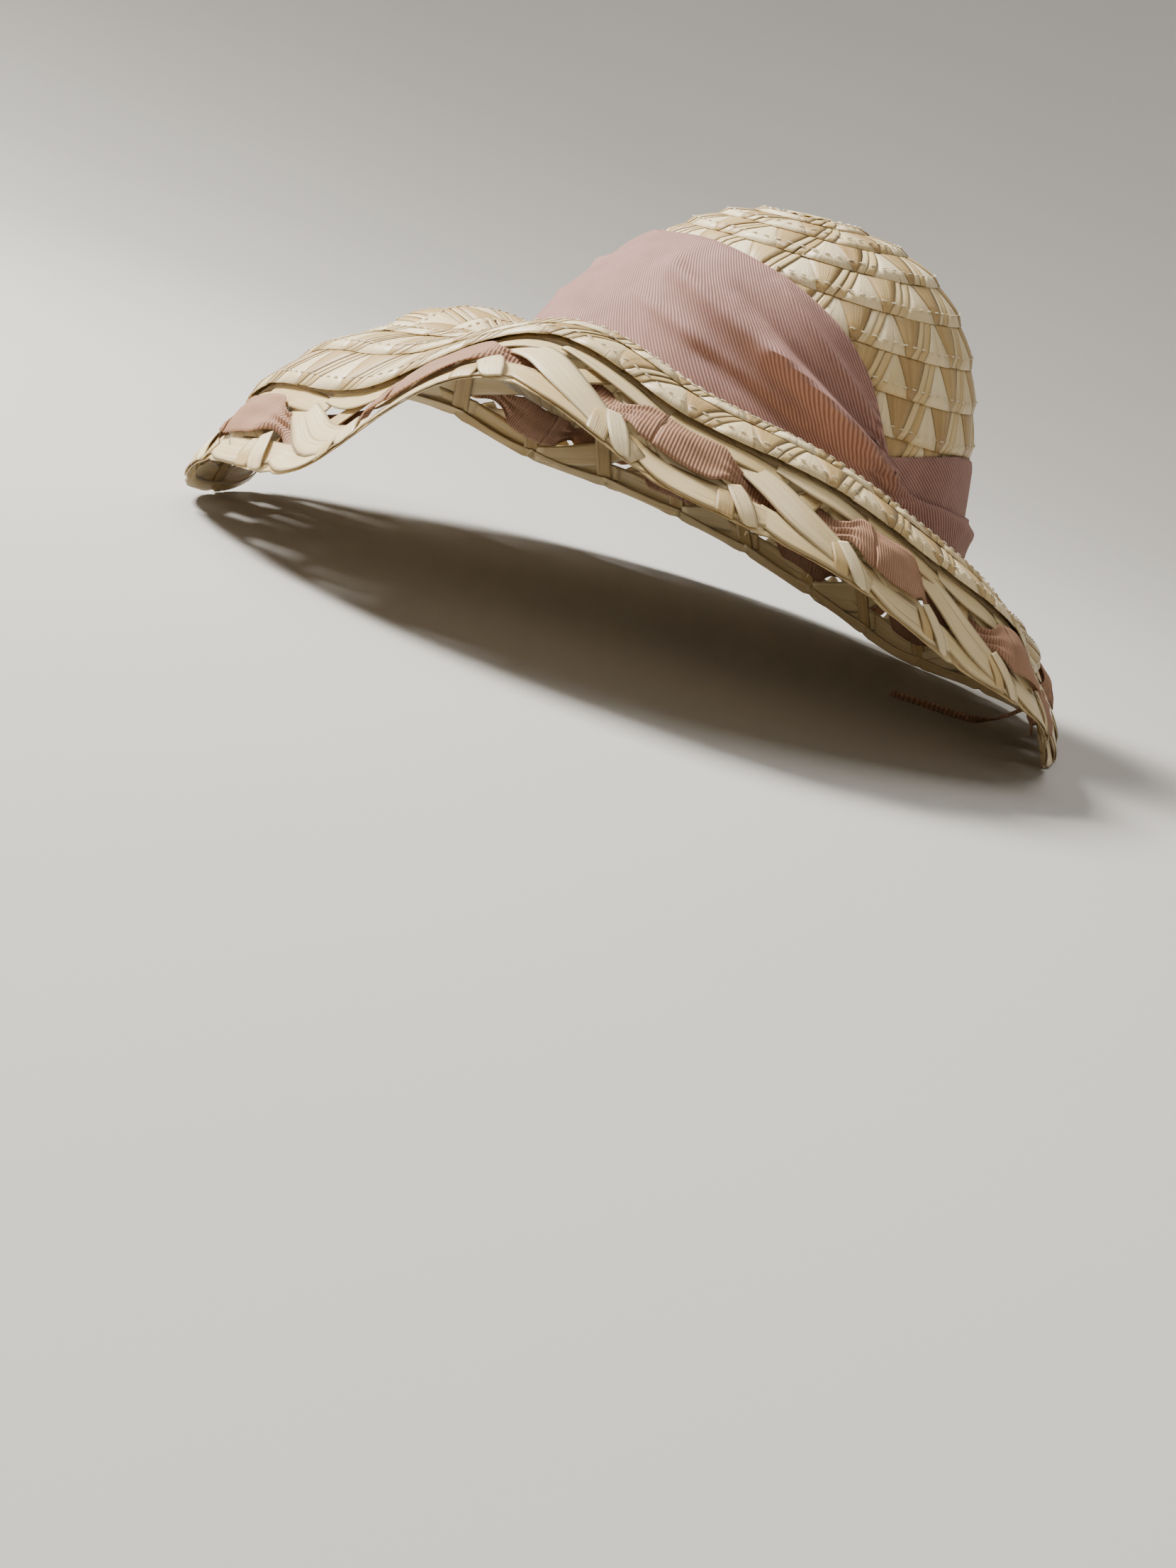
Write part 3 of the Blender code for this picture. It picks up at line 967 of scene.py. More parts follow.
@dataclass
class BraidRows:
    """Sewn rows of plaited strands over one skin, each row's edge lying over the next."""

    skin: Skin
    edges: list[Span]
    period: float = 0.026
    cover: Callable[[float], float] = lambda azimuth: -1.0
    across: int = 3
    along: int = 5
    leaf: float = 0.00035
    base_lift: float = 0.0007
    row_climb: float = 0.0020
    edge_roll: float = 0.0011
    roll_from: float = 0.90
    skin_lift: float = 0.0004
    pressed: float = 0.35
    side_overlap: float = 0.03
    phase_step: float = 0.37
    phase_scatter: float = 0.05
    wobble: float = 0.010
    rise_scatter: float = 0.0001
    tone_scatter: float = 0.17
    pattern_scatter: float = 0.05
    camber: float = 0.16
    end_flattening: float = 0.6
    bare_span: tuple[float, float] = (-0.004, 0.016)
    cover_reach: float = 8
    cover_margin: float = 0.02
    strand_length: float = 0.018
    stitch_gap: float = 0.0046
    stitch_ring: float = 0.22
    stitch_inset: float = 0.21
    stitch_lift: float = 0.00095
    stitch_margin: float = 0.01
    stitch_size: tuple[float, float, float] = (0.0015, 0.00030, 0.00032)
    rows: PieceMesh = field(default_factory=PieceMesh)

    def lift(self, v: float) -> float:
        """Height of a row's face over the wall.

        Args:
            v: place from the row's hidden edge, 0, to its sewn edge, 1.

        Returns:
            The height in metres.
        """
        roll = smoothstep(self.roll_from, 1.0, v)
        return self.base_lift + self.row_climb * v - roll * self.edge_roll

    def build_row(self, number: int) -> None:
        """Plaits one row.

        Args:
            number: the row, counted from the skin's start.
        """
        span = self.edges[number]
        middle = sum(span(0.0)) / 2
        periods = max(int(round(self.skin.ring(middle)[-1] / self.period)), 3)
        phase = self.phase_step * number + self.phase_scatter * jitter(number, 3)
        plan = RowPlan(number, span, middle, periods, phase)
        for i in range(periods):
            for k, strand in enumerate(PLAIT):
                self.lay_strand(plan, i, k, strand)

    def under_cloth(self, plan: RowPlan, i: int) -> bool:
        """Says whether the cloth hides a whole period of a row.

        Args:
            plan: the row.
            i: the period's number.

        Returns:
            True where nothing of it shows.
        """
        here = self.skin.azimuth_at(plan.middle, (i + plan.phase + 0.5) / plan.periods)
        nearby = (here - self.cover_reach, here, here + self.cover_reach)
        return plan.span(here)[1] < min(self.cover(azimuth) for azimuth in nearby) - self.cover_margin

    def lay_strand(self, plan: RowPlan, i: int, k: int, strand: Strand) -> None:
        """Lays one strand of one period, unless the cloth covers it.

        Args:
            plan: the row.
            i: the period's number.
            k: the strand's number in the period.
            strand: its form.
        """
        if self.under_cloth(plan, i):
            return
        row = plan.number
        sway = [self.wobble * jitter(row, i, k, n) for n in range(4)]
        deep = self.wobble * jitter(row, i, 7) + strand.overhang
        rise = self.rise_scatter * jitter(row, i, k, 9)

        def place(x: float, y: float) -> Vector:
            """Point of the strand.

            Args:
                x: place across it, from 0 to 1.
                y: place along it, from its hidden end to its sewn end.

            Returns:
                The point.
            """
            wide = x * (1 + 2 * self.side_overlap) - self.side_overlap
            top = strand.top_left + sway[0] + (strand.top_right - strand.top_left + sway[1]) * wide
            foot = strand.foot_left + sway[2] + (strand.foot_right - strand.foot_left + sway[3]) * wide
            v = y * (1.0 + deep)
            turn = (i + plan.phase + top + (foot - top) * y) / plan.periods
            azimuth = self.skin.azimuth_at(plan.middle, turn)
            sewn, hidden = plan.span(azimuth)
            share = hidden + (sewn - hidden) * v
            tilt = strand.lift_left + (strand.lift_right - strand.lift_left) * x
            crown = self.camber * math.sin(math.pi * x) * math.sin(math.pi * (y * 0.9 + 0.05))
            relief = (tilt * (1 - self.end_flattening * smoothstep(0.85, 1, y)) + crown) * MM
            lift = self.lift(min(v, 1.0)) + relief + rise
            bare = smoothstep(*self.bare_span, share - self.cover(azimuth))
            free = self.pressed + (1 - self.pressed) * bare
            return self.skin.at(azimuth, share, self.skin_lift + (lift - self.skin_lift) * free)

        tone = min(max(strand.tone + self.tone_scatter * jitter(row, i, k, 5), 0.0), 1.0)
        size = (strand.width, self.strand_length)
        shift = self.pattern_scatter * jitter(row, i, k, 8)
        self.rows.patch(self.across, self.along, place, tone, size, shift)

    def lay_stitch(self, stitches: bmesh.types.BMesh, azimuth: float, share: float) -> None:
        """Lays one short stitch along a row.

        Args:
            stitches: the mesh that takes it.
            azimuth: degrees.
            share: share along the skin.
        """
        lift = self.lift(1 - self.stitch_inset) + self.stitch_lift
        centre = self.skin.at(azimuth, share, lift)
        along = (self.skin.at(azimuth + 0.5, share, lift) - centre).normalized()
        up = (self.skin.at(azimuth, share, 0.01) - self.skin.at(azimuth, share)).normalized()
        turn = Matrix((along, up.cross(along), up)).transposed().to_4x4()
        place = Matrix.Translation(centre) @ turn @ Matrix.Diagonal((*self.stitch_size, 1.0))
        bmesh.ops.create_icosphere(stitches, subdivisions=1, radius=1.0, matrix=place)

    def build_stitches(self, stitches: bmesh.types.BMesh) -> None:
        """Lays short stitches just inside every sewn edge that the cloth leaves bare.

        Args:
            stitches: the mesh that takes them.
        """
        for span in self.edges:
            low, high = span(0.0)
            ring = low + (high - low) * self.stitch_ring
            count = int(self.skin.ring(ring)[-1] / self.stitch_gap)
            for i in range(count):
                azimuth = self.skin.azimuth_at(ring, (i + 0.5) / count)
                sewn, hidden = span(azimuth)
                share = sewn + (hidden - sewn) * self.stitch_inset
                if share >= self.cover(azimuth) + self.stitch_margin:
                    self.lay_stitch(stitches, azimuth, share)

    def build(self, name: str, material: bpy.types.Material) -> bpy.types.Object:
        """Plaits every row.

        Args:
            name: the piece's name.
            material: its finish.

        Returns:
            The piece.
        """
        for number in range(len(self.edges)):
            self.build_row(number)
        return self.rows.finish(name, material, self.leaf)


@dataclass
class StrawWall:
    """The closed wall under the strands, built ring by ring from a circle."""

    skin: Skin
    shares: list[float]
    under: list[float]
    lift_under: float = -0.0021
    capped: bool = False
    share_at: Callable[[float, float], float] = lambda azimuth, share: share
    sides: int = 180
    sharp_from: float = 40

    def settle(self, ring: list[bmesh.types.BMVert], share: float, lift: float) -> None:
        """Moves a ring into place.

        Args:
            ring: its vertices, in order from behind.
            share: the ring's share along the wall.
            lift: its height off the skin.
        """
        for i, vert in enumerate(ring):
            azimuth = 360 * i / self.sides - 180
            vert.co = self.skin.at(azimuth, self.share_at(azimuth, share), lift)

    def lay_pattern(self, bm: bmesh.types.BMesh, marks: dict, periods: int) -> None:
        """Writes the weave UV map, closed without a jump behind.

        Args:
            bm: the wall's mesh.
            marks: U and V of every vertex.
            periods: plait periods round the wall.
        """
        uv = bm.loops.layers.uv.new("weave")
        for face in bm.faces:
            last = max(marks[loop.vert][0] for loop in face.loops)
            for loop in face.loops:
                u, v = marks[loop.vert]
                if len(face.verts) == 4 and last - u > periods / 2:
                    u += periods
                loop[uv].uv = (u, v)

    def build(self, name: str, material: bpy.types.Material, periods: int, rows: int) -> bpy.types.Object:
        """Builds the wall.

        Args:
            name: the piece's name.
            material: its finish.
            periods: plait periods round it.
            rows: rows along it.

        Returns:
            The piece.
        """
        rings = [(share, 0.0) for share in self.shares]
        rings += [(share, self.lift_under) for share in self.under]
        bm = bmesh.new()
        bmesh.ops.create_circle(bm, segments=self.sides, radius=1.0)
        verts = list(bm.verts)
        edges = first = list(bm.edges)
        marks: dict[bmesh.types.BMVert, tuple[float, float]] = {}
        for number, (share, lift) in enumerate(rings):
            if number:
                made = bmesh.ops.extrude_edge_only(bm, edges=edges)["geom"]
                fresh = {item for item in made if isinstance(item, bmesh.types.BMVert)}
                joins = [item for item in made if isinstance(item, bmesh.types.BMEdge)]
                edges = [edge for edge in joins if fresh.issuperset(edge.verts)]
                verts = [
                    next(edge.other_vert(vert) for edge in vert.link_edges if edge.other_vert(vert) in fresh)
                    for vert in verts
                ]
            self.settle(verts, share, lift)
            marks.update((vert, (i / self.sides * periods, share * rows)) for i, vert in enumerate(verts))
        if self.capped:
            bmesh.ops.edgeloop_fill(bm, edges=first)
            bmesh.ops.edgeloop_fill(bm, edges=edges)
        else:
            bmesh.ops.bridge_loops(bm, edges=first + edges)
        bmesh.ops.recalc_face_normals(bm, faces=bm.faces)
        self.lay_pattern(bm, marks, periods)
        return make_object(bm, name, material, self.sharp_from)


class StrapPoint(NamedTuple):
    """A point of a loose strap: pitch share, millimetres from the rim's inner edge, lift and width in mm."""

    along: float
    out: float
    lift: float
    width: float


class LooseStrap(NamedTuple):
    """One strap of every slot pitch: its tone, whether the ribbon goes over it, and its centre line."""

    tone: float
    under_ribbon: bool
    path: tuple[StrapPoint, ...]


LOOSE_STRAPS = (
    LooseStrap(
        0.55,
        False,
        (
            StrapPoint(0.00, 1.0, 0.1, 6.0),
            StrapPoint(0.33, 3.4, 0.3, 9.0),
            StrapPoint(0.70, 4.2, 0.2, 9.0),
            StrapPoint(1.08, 5.6, -0.6, 7.0),
        ),
    ),
    LooseStrap(
        0.82,
        True,
        (
            StrapPoint(-0.42, 4.0, -1.2, 8.0),
            StrapPoint(-0.04, 13.0, 0.2, 13.0),
            StrapPoint(0.34, 23.5, 0.5, 14.5),
            StrapPoint(0.96, 33.0, -0.6, 9.0),
        ),
    ),
    LooseStrap(
        0.34,
        False,
        (
            StrapPoint(0.46, 1.5, -1.5, 6.0),
            StrapPoint(0.31, 11.0, -1.4, 8.0),
            StrapPoint(0.17, 21.0, -1.2, 8.5),
            StrapPoint(0.02, 33.0, -1.4, 8.0),
        ),
    ),
    LooseStrap(
        0.66,
        False,
        (
            StrapPoint(-0.12, 27.0, -1.1, 8.0),
            StrapPoint(0.20, 31.0, -0.5, 12.0),
            StrapPoint(0.62, 30.5, -0.3, 13.0),
            StrapPoint(1.10, 27.5, -1.2, 8.0),
        ),
    ),
    LooseStrap(
        0.50,
        False,
        (
            StrapPoint(-0.02, 33.0, -1.8, 4.0),
            StrapPoint(0.34, 35.6, -1.5, 7.0),
            StrapPoint(0.68, 35.6, -1.5, 7.0),
            StrapPoint(1.06, 33.0, -1.8, 4.0),
        ),
    ),
    LooseStrap(
        0.90,
        False,
        (
            StrapPoint(0.66, 21.5, 0.7, 6.0),
            StrapPoint(0.73, 26.5, 1.3, 7.5),
            StrapPoint(0.80, 32.0, 1.0, 7.5),
            StrapPoint(0.86, 36.6, -0.6, 6.0),
        ),
    ),
    LooseStrap(
        0.42,
        False,
        (
            StrapPoint(0.60, 25.0, 0.4, 5.0),
            StrapPoint(0.62, 28.5, 0.9, 6.0),
            StrapPoint(0.64, 32.5, 0.8, 6.5),
            StrapPoint(0.65, 36.6, -0.6, 6.0),
        ),
    ),
)


def spline(values: Sequence[Sequence[float]], place: float) -> list[float]:
    """A point on a smooth open curve.

    Args:
        values: the rows of numbers that it goes through.
        place: place along it, from 0 to 1.

    Returns:
        The numbers there.
    """
    count = len(values) - 1
    i = min(int(place * count), count - 1)
    f = place * count - i
    rows = (values[min(max(i + k, 0), count)] for k in (-1, 0, 1, 2))
    found = []
    for a, b, c, d in zip(*rows):
        bend = (2 * a - 5 * b + 4 * c - d) * f * f + (3 * b - a - 3 * c + d) * f**3
        found.append(0.5 * (2 * b + (c - a) * f + bend))
    return found


@dataclass
class OpenRim:
    """The loose border: wide straps that cross and overlap and leave gaps, with a bound outer edge."""

    skin: Skin
    form: HatForm
    pitches: int = 28
    pitch_mm: float = 43.5
    outer_mm: float = 36.9
    depth_mm: float = 0.7
    sink_mm: float = 1.0
    sway_mm: float = 0.6
    camber_mm: float = 0.10
    side_sway: float = 0.7
    edge_sway: float = 0.4
    lift_sway: float = 0.15
    tone_scatter: float = 0.18
    pattern_scatter: float = 0.07
    look_ahead: float = 0.02
    across: int = 6
    along: int = 14
    leaf: float = 0.0004
    pattern_size: tuple[float, float] = (0.011, 0.05)
    mesh: PieceMesh = field(default_factory=PieceMesh)

    def azimuth(self, pitch: float) -> float:
        """Degrees at a place in slot pitches from behind."""
        return 360 / self.pitches * pitch - 180

    def at(self, pitch: float, out: float, lift: float) -> Vector:
        """A point over the open rim.

        Args:
            pitch: place round the hat in slot pitches from behind.
            out: metres from the rim's inner edge.
            lift: metres over the straw's top face.

        Returns:
            The point.
        """
        azimuth = self.azimuth(pitch)
        share = self.form.edge_share(azimuth) + out / self.form.brim_width(azimuth)
        return self.skin.at(azimuth, share, lift)

    def lay_strap(self, pitch: int, kind: int) -> None:
        """Lays one loose strap of one pitch.

        Args:
            pitch: the pitch's number from behind.
            kind: the strap's number in the pitch.
        """
        strap = LOOSE_STRAPS[kind]
        depth = self.depth_mm + (self.sink_mm if strap.under_ribbon and pitch % 2 == 0 else 0.0)
        sway = [self.sway_mm * jitter(pitch, kind, n) for n in range(4)]

        def place(x: float, y: float) -> Vector:
            """Point of the strap.

            Args:
                x: place across it, from 0 to 1.
                y: place along it, from 0 to 1.

            Returns:
                The point.
            """
            along, out, lift, width = spline(strap.path, y)
            ahead = spline(strap.path, min(y + self.look_ahead, 1.0))
            behind = spline(strap.path, max(y - self.look_ahead, 0.0))
            run = Vector(((ahead[0] - behind[0]) * self.pitch_mm, ahead[1] - behind[1]))
            side = Vector((-run.y, run.x)).normalized() * (x - 0.5) * (width + sway[0])
            out += side.y + sway[1] * self.side_sway
            camber = self.camber_mm * math.sin(math.pi * x) + self.side_sway * (x - 0.5) * sway[2]
            return self.at(
                pitch + along + side.x / self.pitch_mm,
                min(out, self.outer_mm + self.edge_sway * sway[3]) * MM,
                (lift + camber + sway[3] * self.lift_sway - depth) * MM,
            )

        tone = min(max(strap.tone + self.tone_scatter * jitter(pitch, kind, 5), 0.0), 1.0)
        shift = self.pattern_scatter * jitter(pitch, kind, 6)
        self.mesh.patch(self.across, self.along, place, tone, self.pattern_size, shift)

    def build(self, material: bpy.types.Material) -> bpy.types.Object:
        """Lays every strap.

        Args:
            material: the straw's finish.

        Returns:
            The piece.
        """
        for pitch in range(self.pitches):
            for kind in range(len(LOOSE_STRAPS)):
                self.lay_strap(pitch, kind)
        return self.mesh.finish("open_rim_straps", material, self.leaf)


@dataclass
class ThreadedRibbon:
    """The ribbon that goes over one bar of the open rim and under the next, gathered at each slot."""

    rim: OpenRim
    width: float = 0.0185
    narrow: float = 0.0084
    middle: float = 0.01575
    over: float = 0.0016
    under: float = -0.0042
    wall: float = 0.0004
    crossing: float = 0.69
    gather_span: tuple[float, float] = (0.03, 0.22)
    cross_span: tuple[float, float] = (0.52, 0.86)
    bar_span: tuple[float, float] = (-0.2, 0.55)
    puff_over: float = 0.0016
    puff_under: float = 0.0008
    pleats: int = 5
    pleat_depth: float = 0.0007
    pleat_loss: float = 0.00055
    crease_depth: float = 0.0005
    sway: float = 0.0007
    across: int = 12
    along: int = 26
    pitch_length: float = 0.046

    def at(self, pitch: int, x: float, y: float) -> Vector:
        """A point of the ribbon.

        Args:
            pitch: the bar that it starts at.
            x: place across it, from 0 to 1.
            y: place along the pitch, from 0 to 1.

        Returns:
            The point.
        """
        over_first = pitch % 2 == 0
        away = min(abs(y - self.crossing), 1 - abs(y - self.crossing))
        spread = smoothstep(*self.gather_span, away)
        half = (self.narrow + (self.width - self.narrow) * spread) / 2
        cross = smoothstep(*self.cross_span, y)
        start, end = (self.over, self.under) if over_first else (self.under, self.over)
        lift = start + (end - start) * cross
        over = 1 - cross if over_first else cross
        bar = math.sin(math.pi * smoothstep(*self.bar_span, y if y < 0.6 else y - 1))
        puff = (self.puff_over * over - self.puff_under * (1 - over)) * bar * math.sin(math.pi * x)
        pleat = math.cos(x * math.pi * self.pleats + 0.9 * jitter(pitch, 2))
        pleat *= self.pleat_depth - self.pleat_loss * spread
        crease = self.crease_depth * math.sin(5.0 * x + 7.0 * y + 3 * jitter(pitch, 5)) * spread
        out = self.middle + (x - 0.5) * 2 * half + self.sway * math.sin(2 * math.pi * y + pitch)
        return self.rim.at(pitch + y, out, lift + pleat + puff + crease * over)

    def build(self, material: bpy.types.Material) -> bpy.types.Object:
        """Builds the ribbon as one closed strip round the rim.

        Args:
            material: the ribbon's finish.

        Returns:
            The piece.
        """
        mesh = PieceMesh()
        size = (self.width, self.pitch_length)
        for pitch in range(self.rim.pitches):
            mesh.patch(self.across, self.along, partial(self.at, pitch), MIDDLE_TONE, size)
        bmesh.ops.remove_doubles(mesh.bm, verts=mesh.bm.verts, dist=MERGE)
        return mesh.finish("threaded_ribbon", material, self.wall)


@dataclass
class DrapedBand:
    """The folded cloth round the crown and the flat piece tucked behind its gather."""

    skin: Skin
    relief: float = 0.006
    puff: float = 0.0022
    cloth: float = 0.0009
    stand: float = 0.0026
    wall: float = 0.0022
    gap: float = 0.0016
    thinnest: float = 0.0003
    fold_start: tuple[float, float] = (-0.15, 0.12)
    fold_end: tuple[float, float] = (0.88, 1.15)
    fold_power: float = 1.6
    hem_power: float = 0.35
    gathers: tuple[tuple[float, float], ...] = ((101, 9), (-103, 10))
    gather_relief: float = 0.16
    gather_rate: float = 210
    hem_from: float = 0.965
    hem_turn: float = 0.004
    hem_depth: float = 0.0012
    slack: float = 0.0008
    cut_length: float = 0.60
    crown_length: float = 0.150
    line_to_upper_half: float = 2.3
    sides: int = 300
    rings: int = 56
    tuck_start: float = 98
    tuck_end: float = 166
    tuck_foot: float = 0.075
    tuck_top: tuple[tuple[float, float], ...] = (
        (0.0, 0.235),
        (0.2, 0.265),
        (0.5, 0.285),
        (0.8, 0.27),
        (1.0, 0.20),
    )
    tuck_size: tuple[float, float] = (0.034, 0.105)
    tuck_cells: tuple[int, int] = (20, 60)
    tuck_wall: float = 0.0008
    tuck_room: float = 0.0016

    def fold_height(self, azimuth: float, share: float) -> float:
        """Relief of the folds at a place on the unrolled crown.

        Args:
            azimuth: degrees.
            share: share up the crown.

        Returns:
            The height in metres.
        """
        total = 0.0
        for fold in FOLDS:
            place = (azimuth - fold.from_azimuth) / (fold.to_azimuth - fold.from_azimuth)
            fade = smoothstep(*self.fold_start, place) * (1 - smoothstep(*self.fold_end, place))
            line = fold.from_share + (fold.to_share - fold.from_share) * min(max(place, 0.0), 1.0)
            away = (share - line) / fold.half_width
            total += fold.height * fade * math.exp(-abs(away) ** self.fold_power)
        gather = sum(math.exp(-(((azimuth - middle) / reach) ** 2)) for middle, reach in self.gathers)
        total += self.gather_relief * gather * math.cos(share * self.gather_rate)
        return self.relief * total

    def cover(self, azimuth: float) -> float:
        """The share of the crown that cloth covers, up from its foot.

        Args:
            azimuth: degrees.

        Returns:
            The share.
        """
        azimuth = (azimuth + 180) % 360 - 180
        place = (azimuth - self.tuck_start) / (self.tuck_end - self.tuck_start)
        tuck = spline(self.tuck_top, place)[1] if 0 <= place <= 1 else 0.0
        return max(around(BAND, "top", azimuth), tuck)

    def low_share(self, azimuth: float) -> float:
        """Where the band's lower edge clears the brim.

        Args:
            azimuth: degrees.

        Returns:
            The share up the crown.
        """
        rise = math.radians(around(BRIM, "rise", azimuth))
        reach = self.stand + self.cloth + self.wall
        upper_half = (self.skin.at(azimuth, 1.0) - self.skin.at(azimuth, 0.5)).length
        length = upper_half * self.line_to_upper_half
        return (max(reach * math.tan(rise), 0.0) + self.gap) / length

    def lift(self, azimuth: float, share: float, place: float) -> float:
        """Distance of the cloth's inner face from the straw wall.

        Args:
            azimuth: degrees.
            share: share up the crown.
            place: place from the band's lower edge, 0, to its upper edge, 1.

        Returns:
            The distance in metres.
        """
        hem = max(math.sin(math.pi * min(max(place, 0.0), 1.0)), 0.0) ** self.hem_power
        full = self.puff * around(BAND, "puff", azimuth)
        loose = max(full + self.fold_height(azimuth, share), self.thinnest) * hem
        tucked = smoothstep(self.tuck_start - 9, self.tuck_start - 2, azimuth)
        tucked *= 1 - smoothstep(self.tuck_end + 2, self.tuck_end + 11, azimuth)
        return self.stand + max(loose, tucked * self.tuck_room)

    def build(self, material: bpy.types.Material) -> bpy.types.Object:
        """Builds the band.

        Args:
            material: the cloth's finish.

        Returns:
            The piece.
        """
        mesh = PieceMesh()

        def share_at(x: float, y: float) -> float:
            """Share up the crown at a place across and along the band."""
            azimuth = 360 * y - 180
            return self.low_share(azimuth) * (1 - x) + around(BAND, "top", azimuth) * x

        def place(x: float, y: float) -> Vector:
            """Point of the band.

            Args:
                x: place from its lower edge, 0, to its upper edge, 1.
                y: place round the crown from behind, from 0 to 1.

            Returns:
                The point.
            """
            azimuth = 360 * y - 180
            roll = smoothstep(self.hem_from, 1.0, x)
            share = share_at(x, y) - roll * self.hem_turn
            slack = self.slack * math.sin(azimuth * 0.11 + 9 * x) * math.sin(math.pi * x)
            lift = self.lift(azimuth, share, x) - roll * self.hem_depth + slack
            return self.skin.at(azimuth, share, lift)

        mesh.patch(self.rings, self.sides, place, MIDDLE_TONE, (1.0, 1.0))
        for vert in mesh.bm.verts:
            x, y = vert[mesh.u], vert[mesh.v]
            vert[mesh.u] = y * self.cut_length
            vert[mesh.v] = share_at(x, y) * self.crown_length
        bmesh.ops.remove_doubles(mesh.bm, verts=mesh.bm.verts, dist=MERGE)
        return mesh.finish("draped_band", material, self.cloth)

    def build_tuck(self, material: bpy.types.Material) -> bpy.types.Object:
        """Builds the flat piece behind the gather.

        Args:
            material: the cloth's finish.

        Returns:
            The piece.
        """
        mesh = PieceMesh()

        def place(x: float, y: float) -> Vector:
            """Point of the tucked piece.

            Args:
                x: place from its foot, 0, to its top, 1.
                y: place along it, from 0 to 1.

            Returns:
                The point.
            """
            azimuth = self.tuck_start + (self.tuck_end - self.tuck_start) * y
            share = self.tuck_foot + (spline(self.tuck_top, y)[1] - self.tuck_foot) * x
            wave = 0.0003 * math.sin(y * 19) * x
            hem = 0.0004 * (1 + smoothstep(0.93, 1.0, x))
            return self.skin.at(azimuth, share, self.stand + wave - hem)

        mesh.patch(*self.tuck_cells, place, MIDDLE_TONE, self.tuck_size)
        return mesh.finish("tucked_cloth", material, self.tuck_wall)


@dataclass
class RibbonEnd:
    """The ribbon's free end, folded narrow, from under a bar down to just over the ground."""

    rim: OpenRim
    ground: float
    pitch: float = 25.19
    out: float = 0.01575
    start_lift: float = -0.0052
    clear: float = 0.0006
    length: float = 0.056
    width: float = 0.0085
    tip_width: float = 0.0055
    roll: float = 0.55
    bend: float = 0.0025
    roll_span: tuple[float, float] = (0.2, 0.6)
    cells: tuple[int, int] = (6, 30)
    crease: float = 0.0005
    wall: float = 0.0005
    line: tuple[tuple[float, float], ...] = (
        (0.0, 1.0),
        (0.12, 0.62),
        (0.26, 0.22),
        (0.42, 0.0),
        (0.70, 0.0),
        (1.0, 0.0),
    )

    def build(self, material: bpy.types.Material) -> bpy.types.Object:
        """Builds the end.

        Args:
            material: the ribbon's finish.

        Returns:
            The piece.
        """
        mesh = PieceMesh()
        start = self.rim.at(self.pitch, self.out, self.start_lift)
        inward = -outward(self.rim.azimuth(self.pitch))
        side = Vector((-inward.y, inward.x, 0.0))
        rest = self.ground + self.clear

        def place(x: float, y: float) -> Vector:
            """Point of the end.

            Args:
                x: place across it, from 0 to 1.
                y: place along it, from the bar to its tip.

            Returns:
                The point.
            """
            along, height = spline(self.line, y)
            centre = start + inward * along * self.length
            centre.z = rest + (start.z - rest) * max(height, 0.0)
            bend = side * (self.bend * math.sin(y * 3.0))
            width = self.width + (self.tip_width - self.width) * y
            turn = self.roll * smoothstep(*self.roll_span, y)
            rise = self.crease * abs(x - 0.5) * 2 + x * width * math.sin(turn)
            return centre + bend + side * (x - 0.5) * width * math.cos(turn) + Vector((0, 0, rise))

        mesh.patch(*self.cells, place, MIDDLE_TONE, (self.width, self.length))
        return mesh.finish("ribbon_free_end", material, self.wall)


class Lamp(NamedTuple):
    """A soft light: its metres toward the camera, to its right and up, its size, power and colour."""

    name: str
    toward: float
    right: float
    up: float
    size: float
    power: float
    colour: tuple[float, float, float]


LAMPS = (
    Lamp("key", -0.1, -1.15, 1.25, 0.5, 92.0, (1.0, 0.985, 0.96)),
    Lamp("fill", 1.9, -0.9, 0.7, 1.2, 3.0, (1.0, 0.97, 0.93)),
    Lamp("sky", 0.0, 0.0, 3.4, 2.8, 62.0, (1.0, 0.985, 0.96)),
)


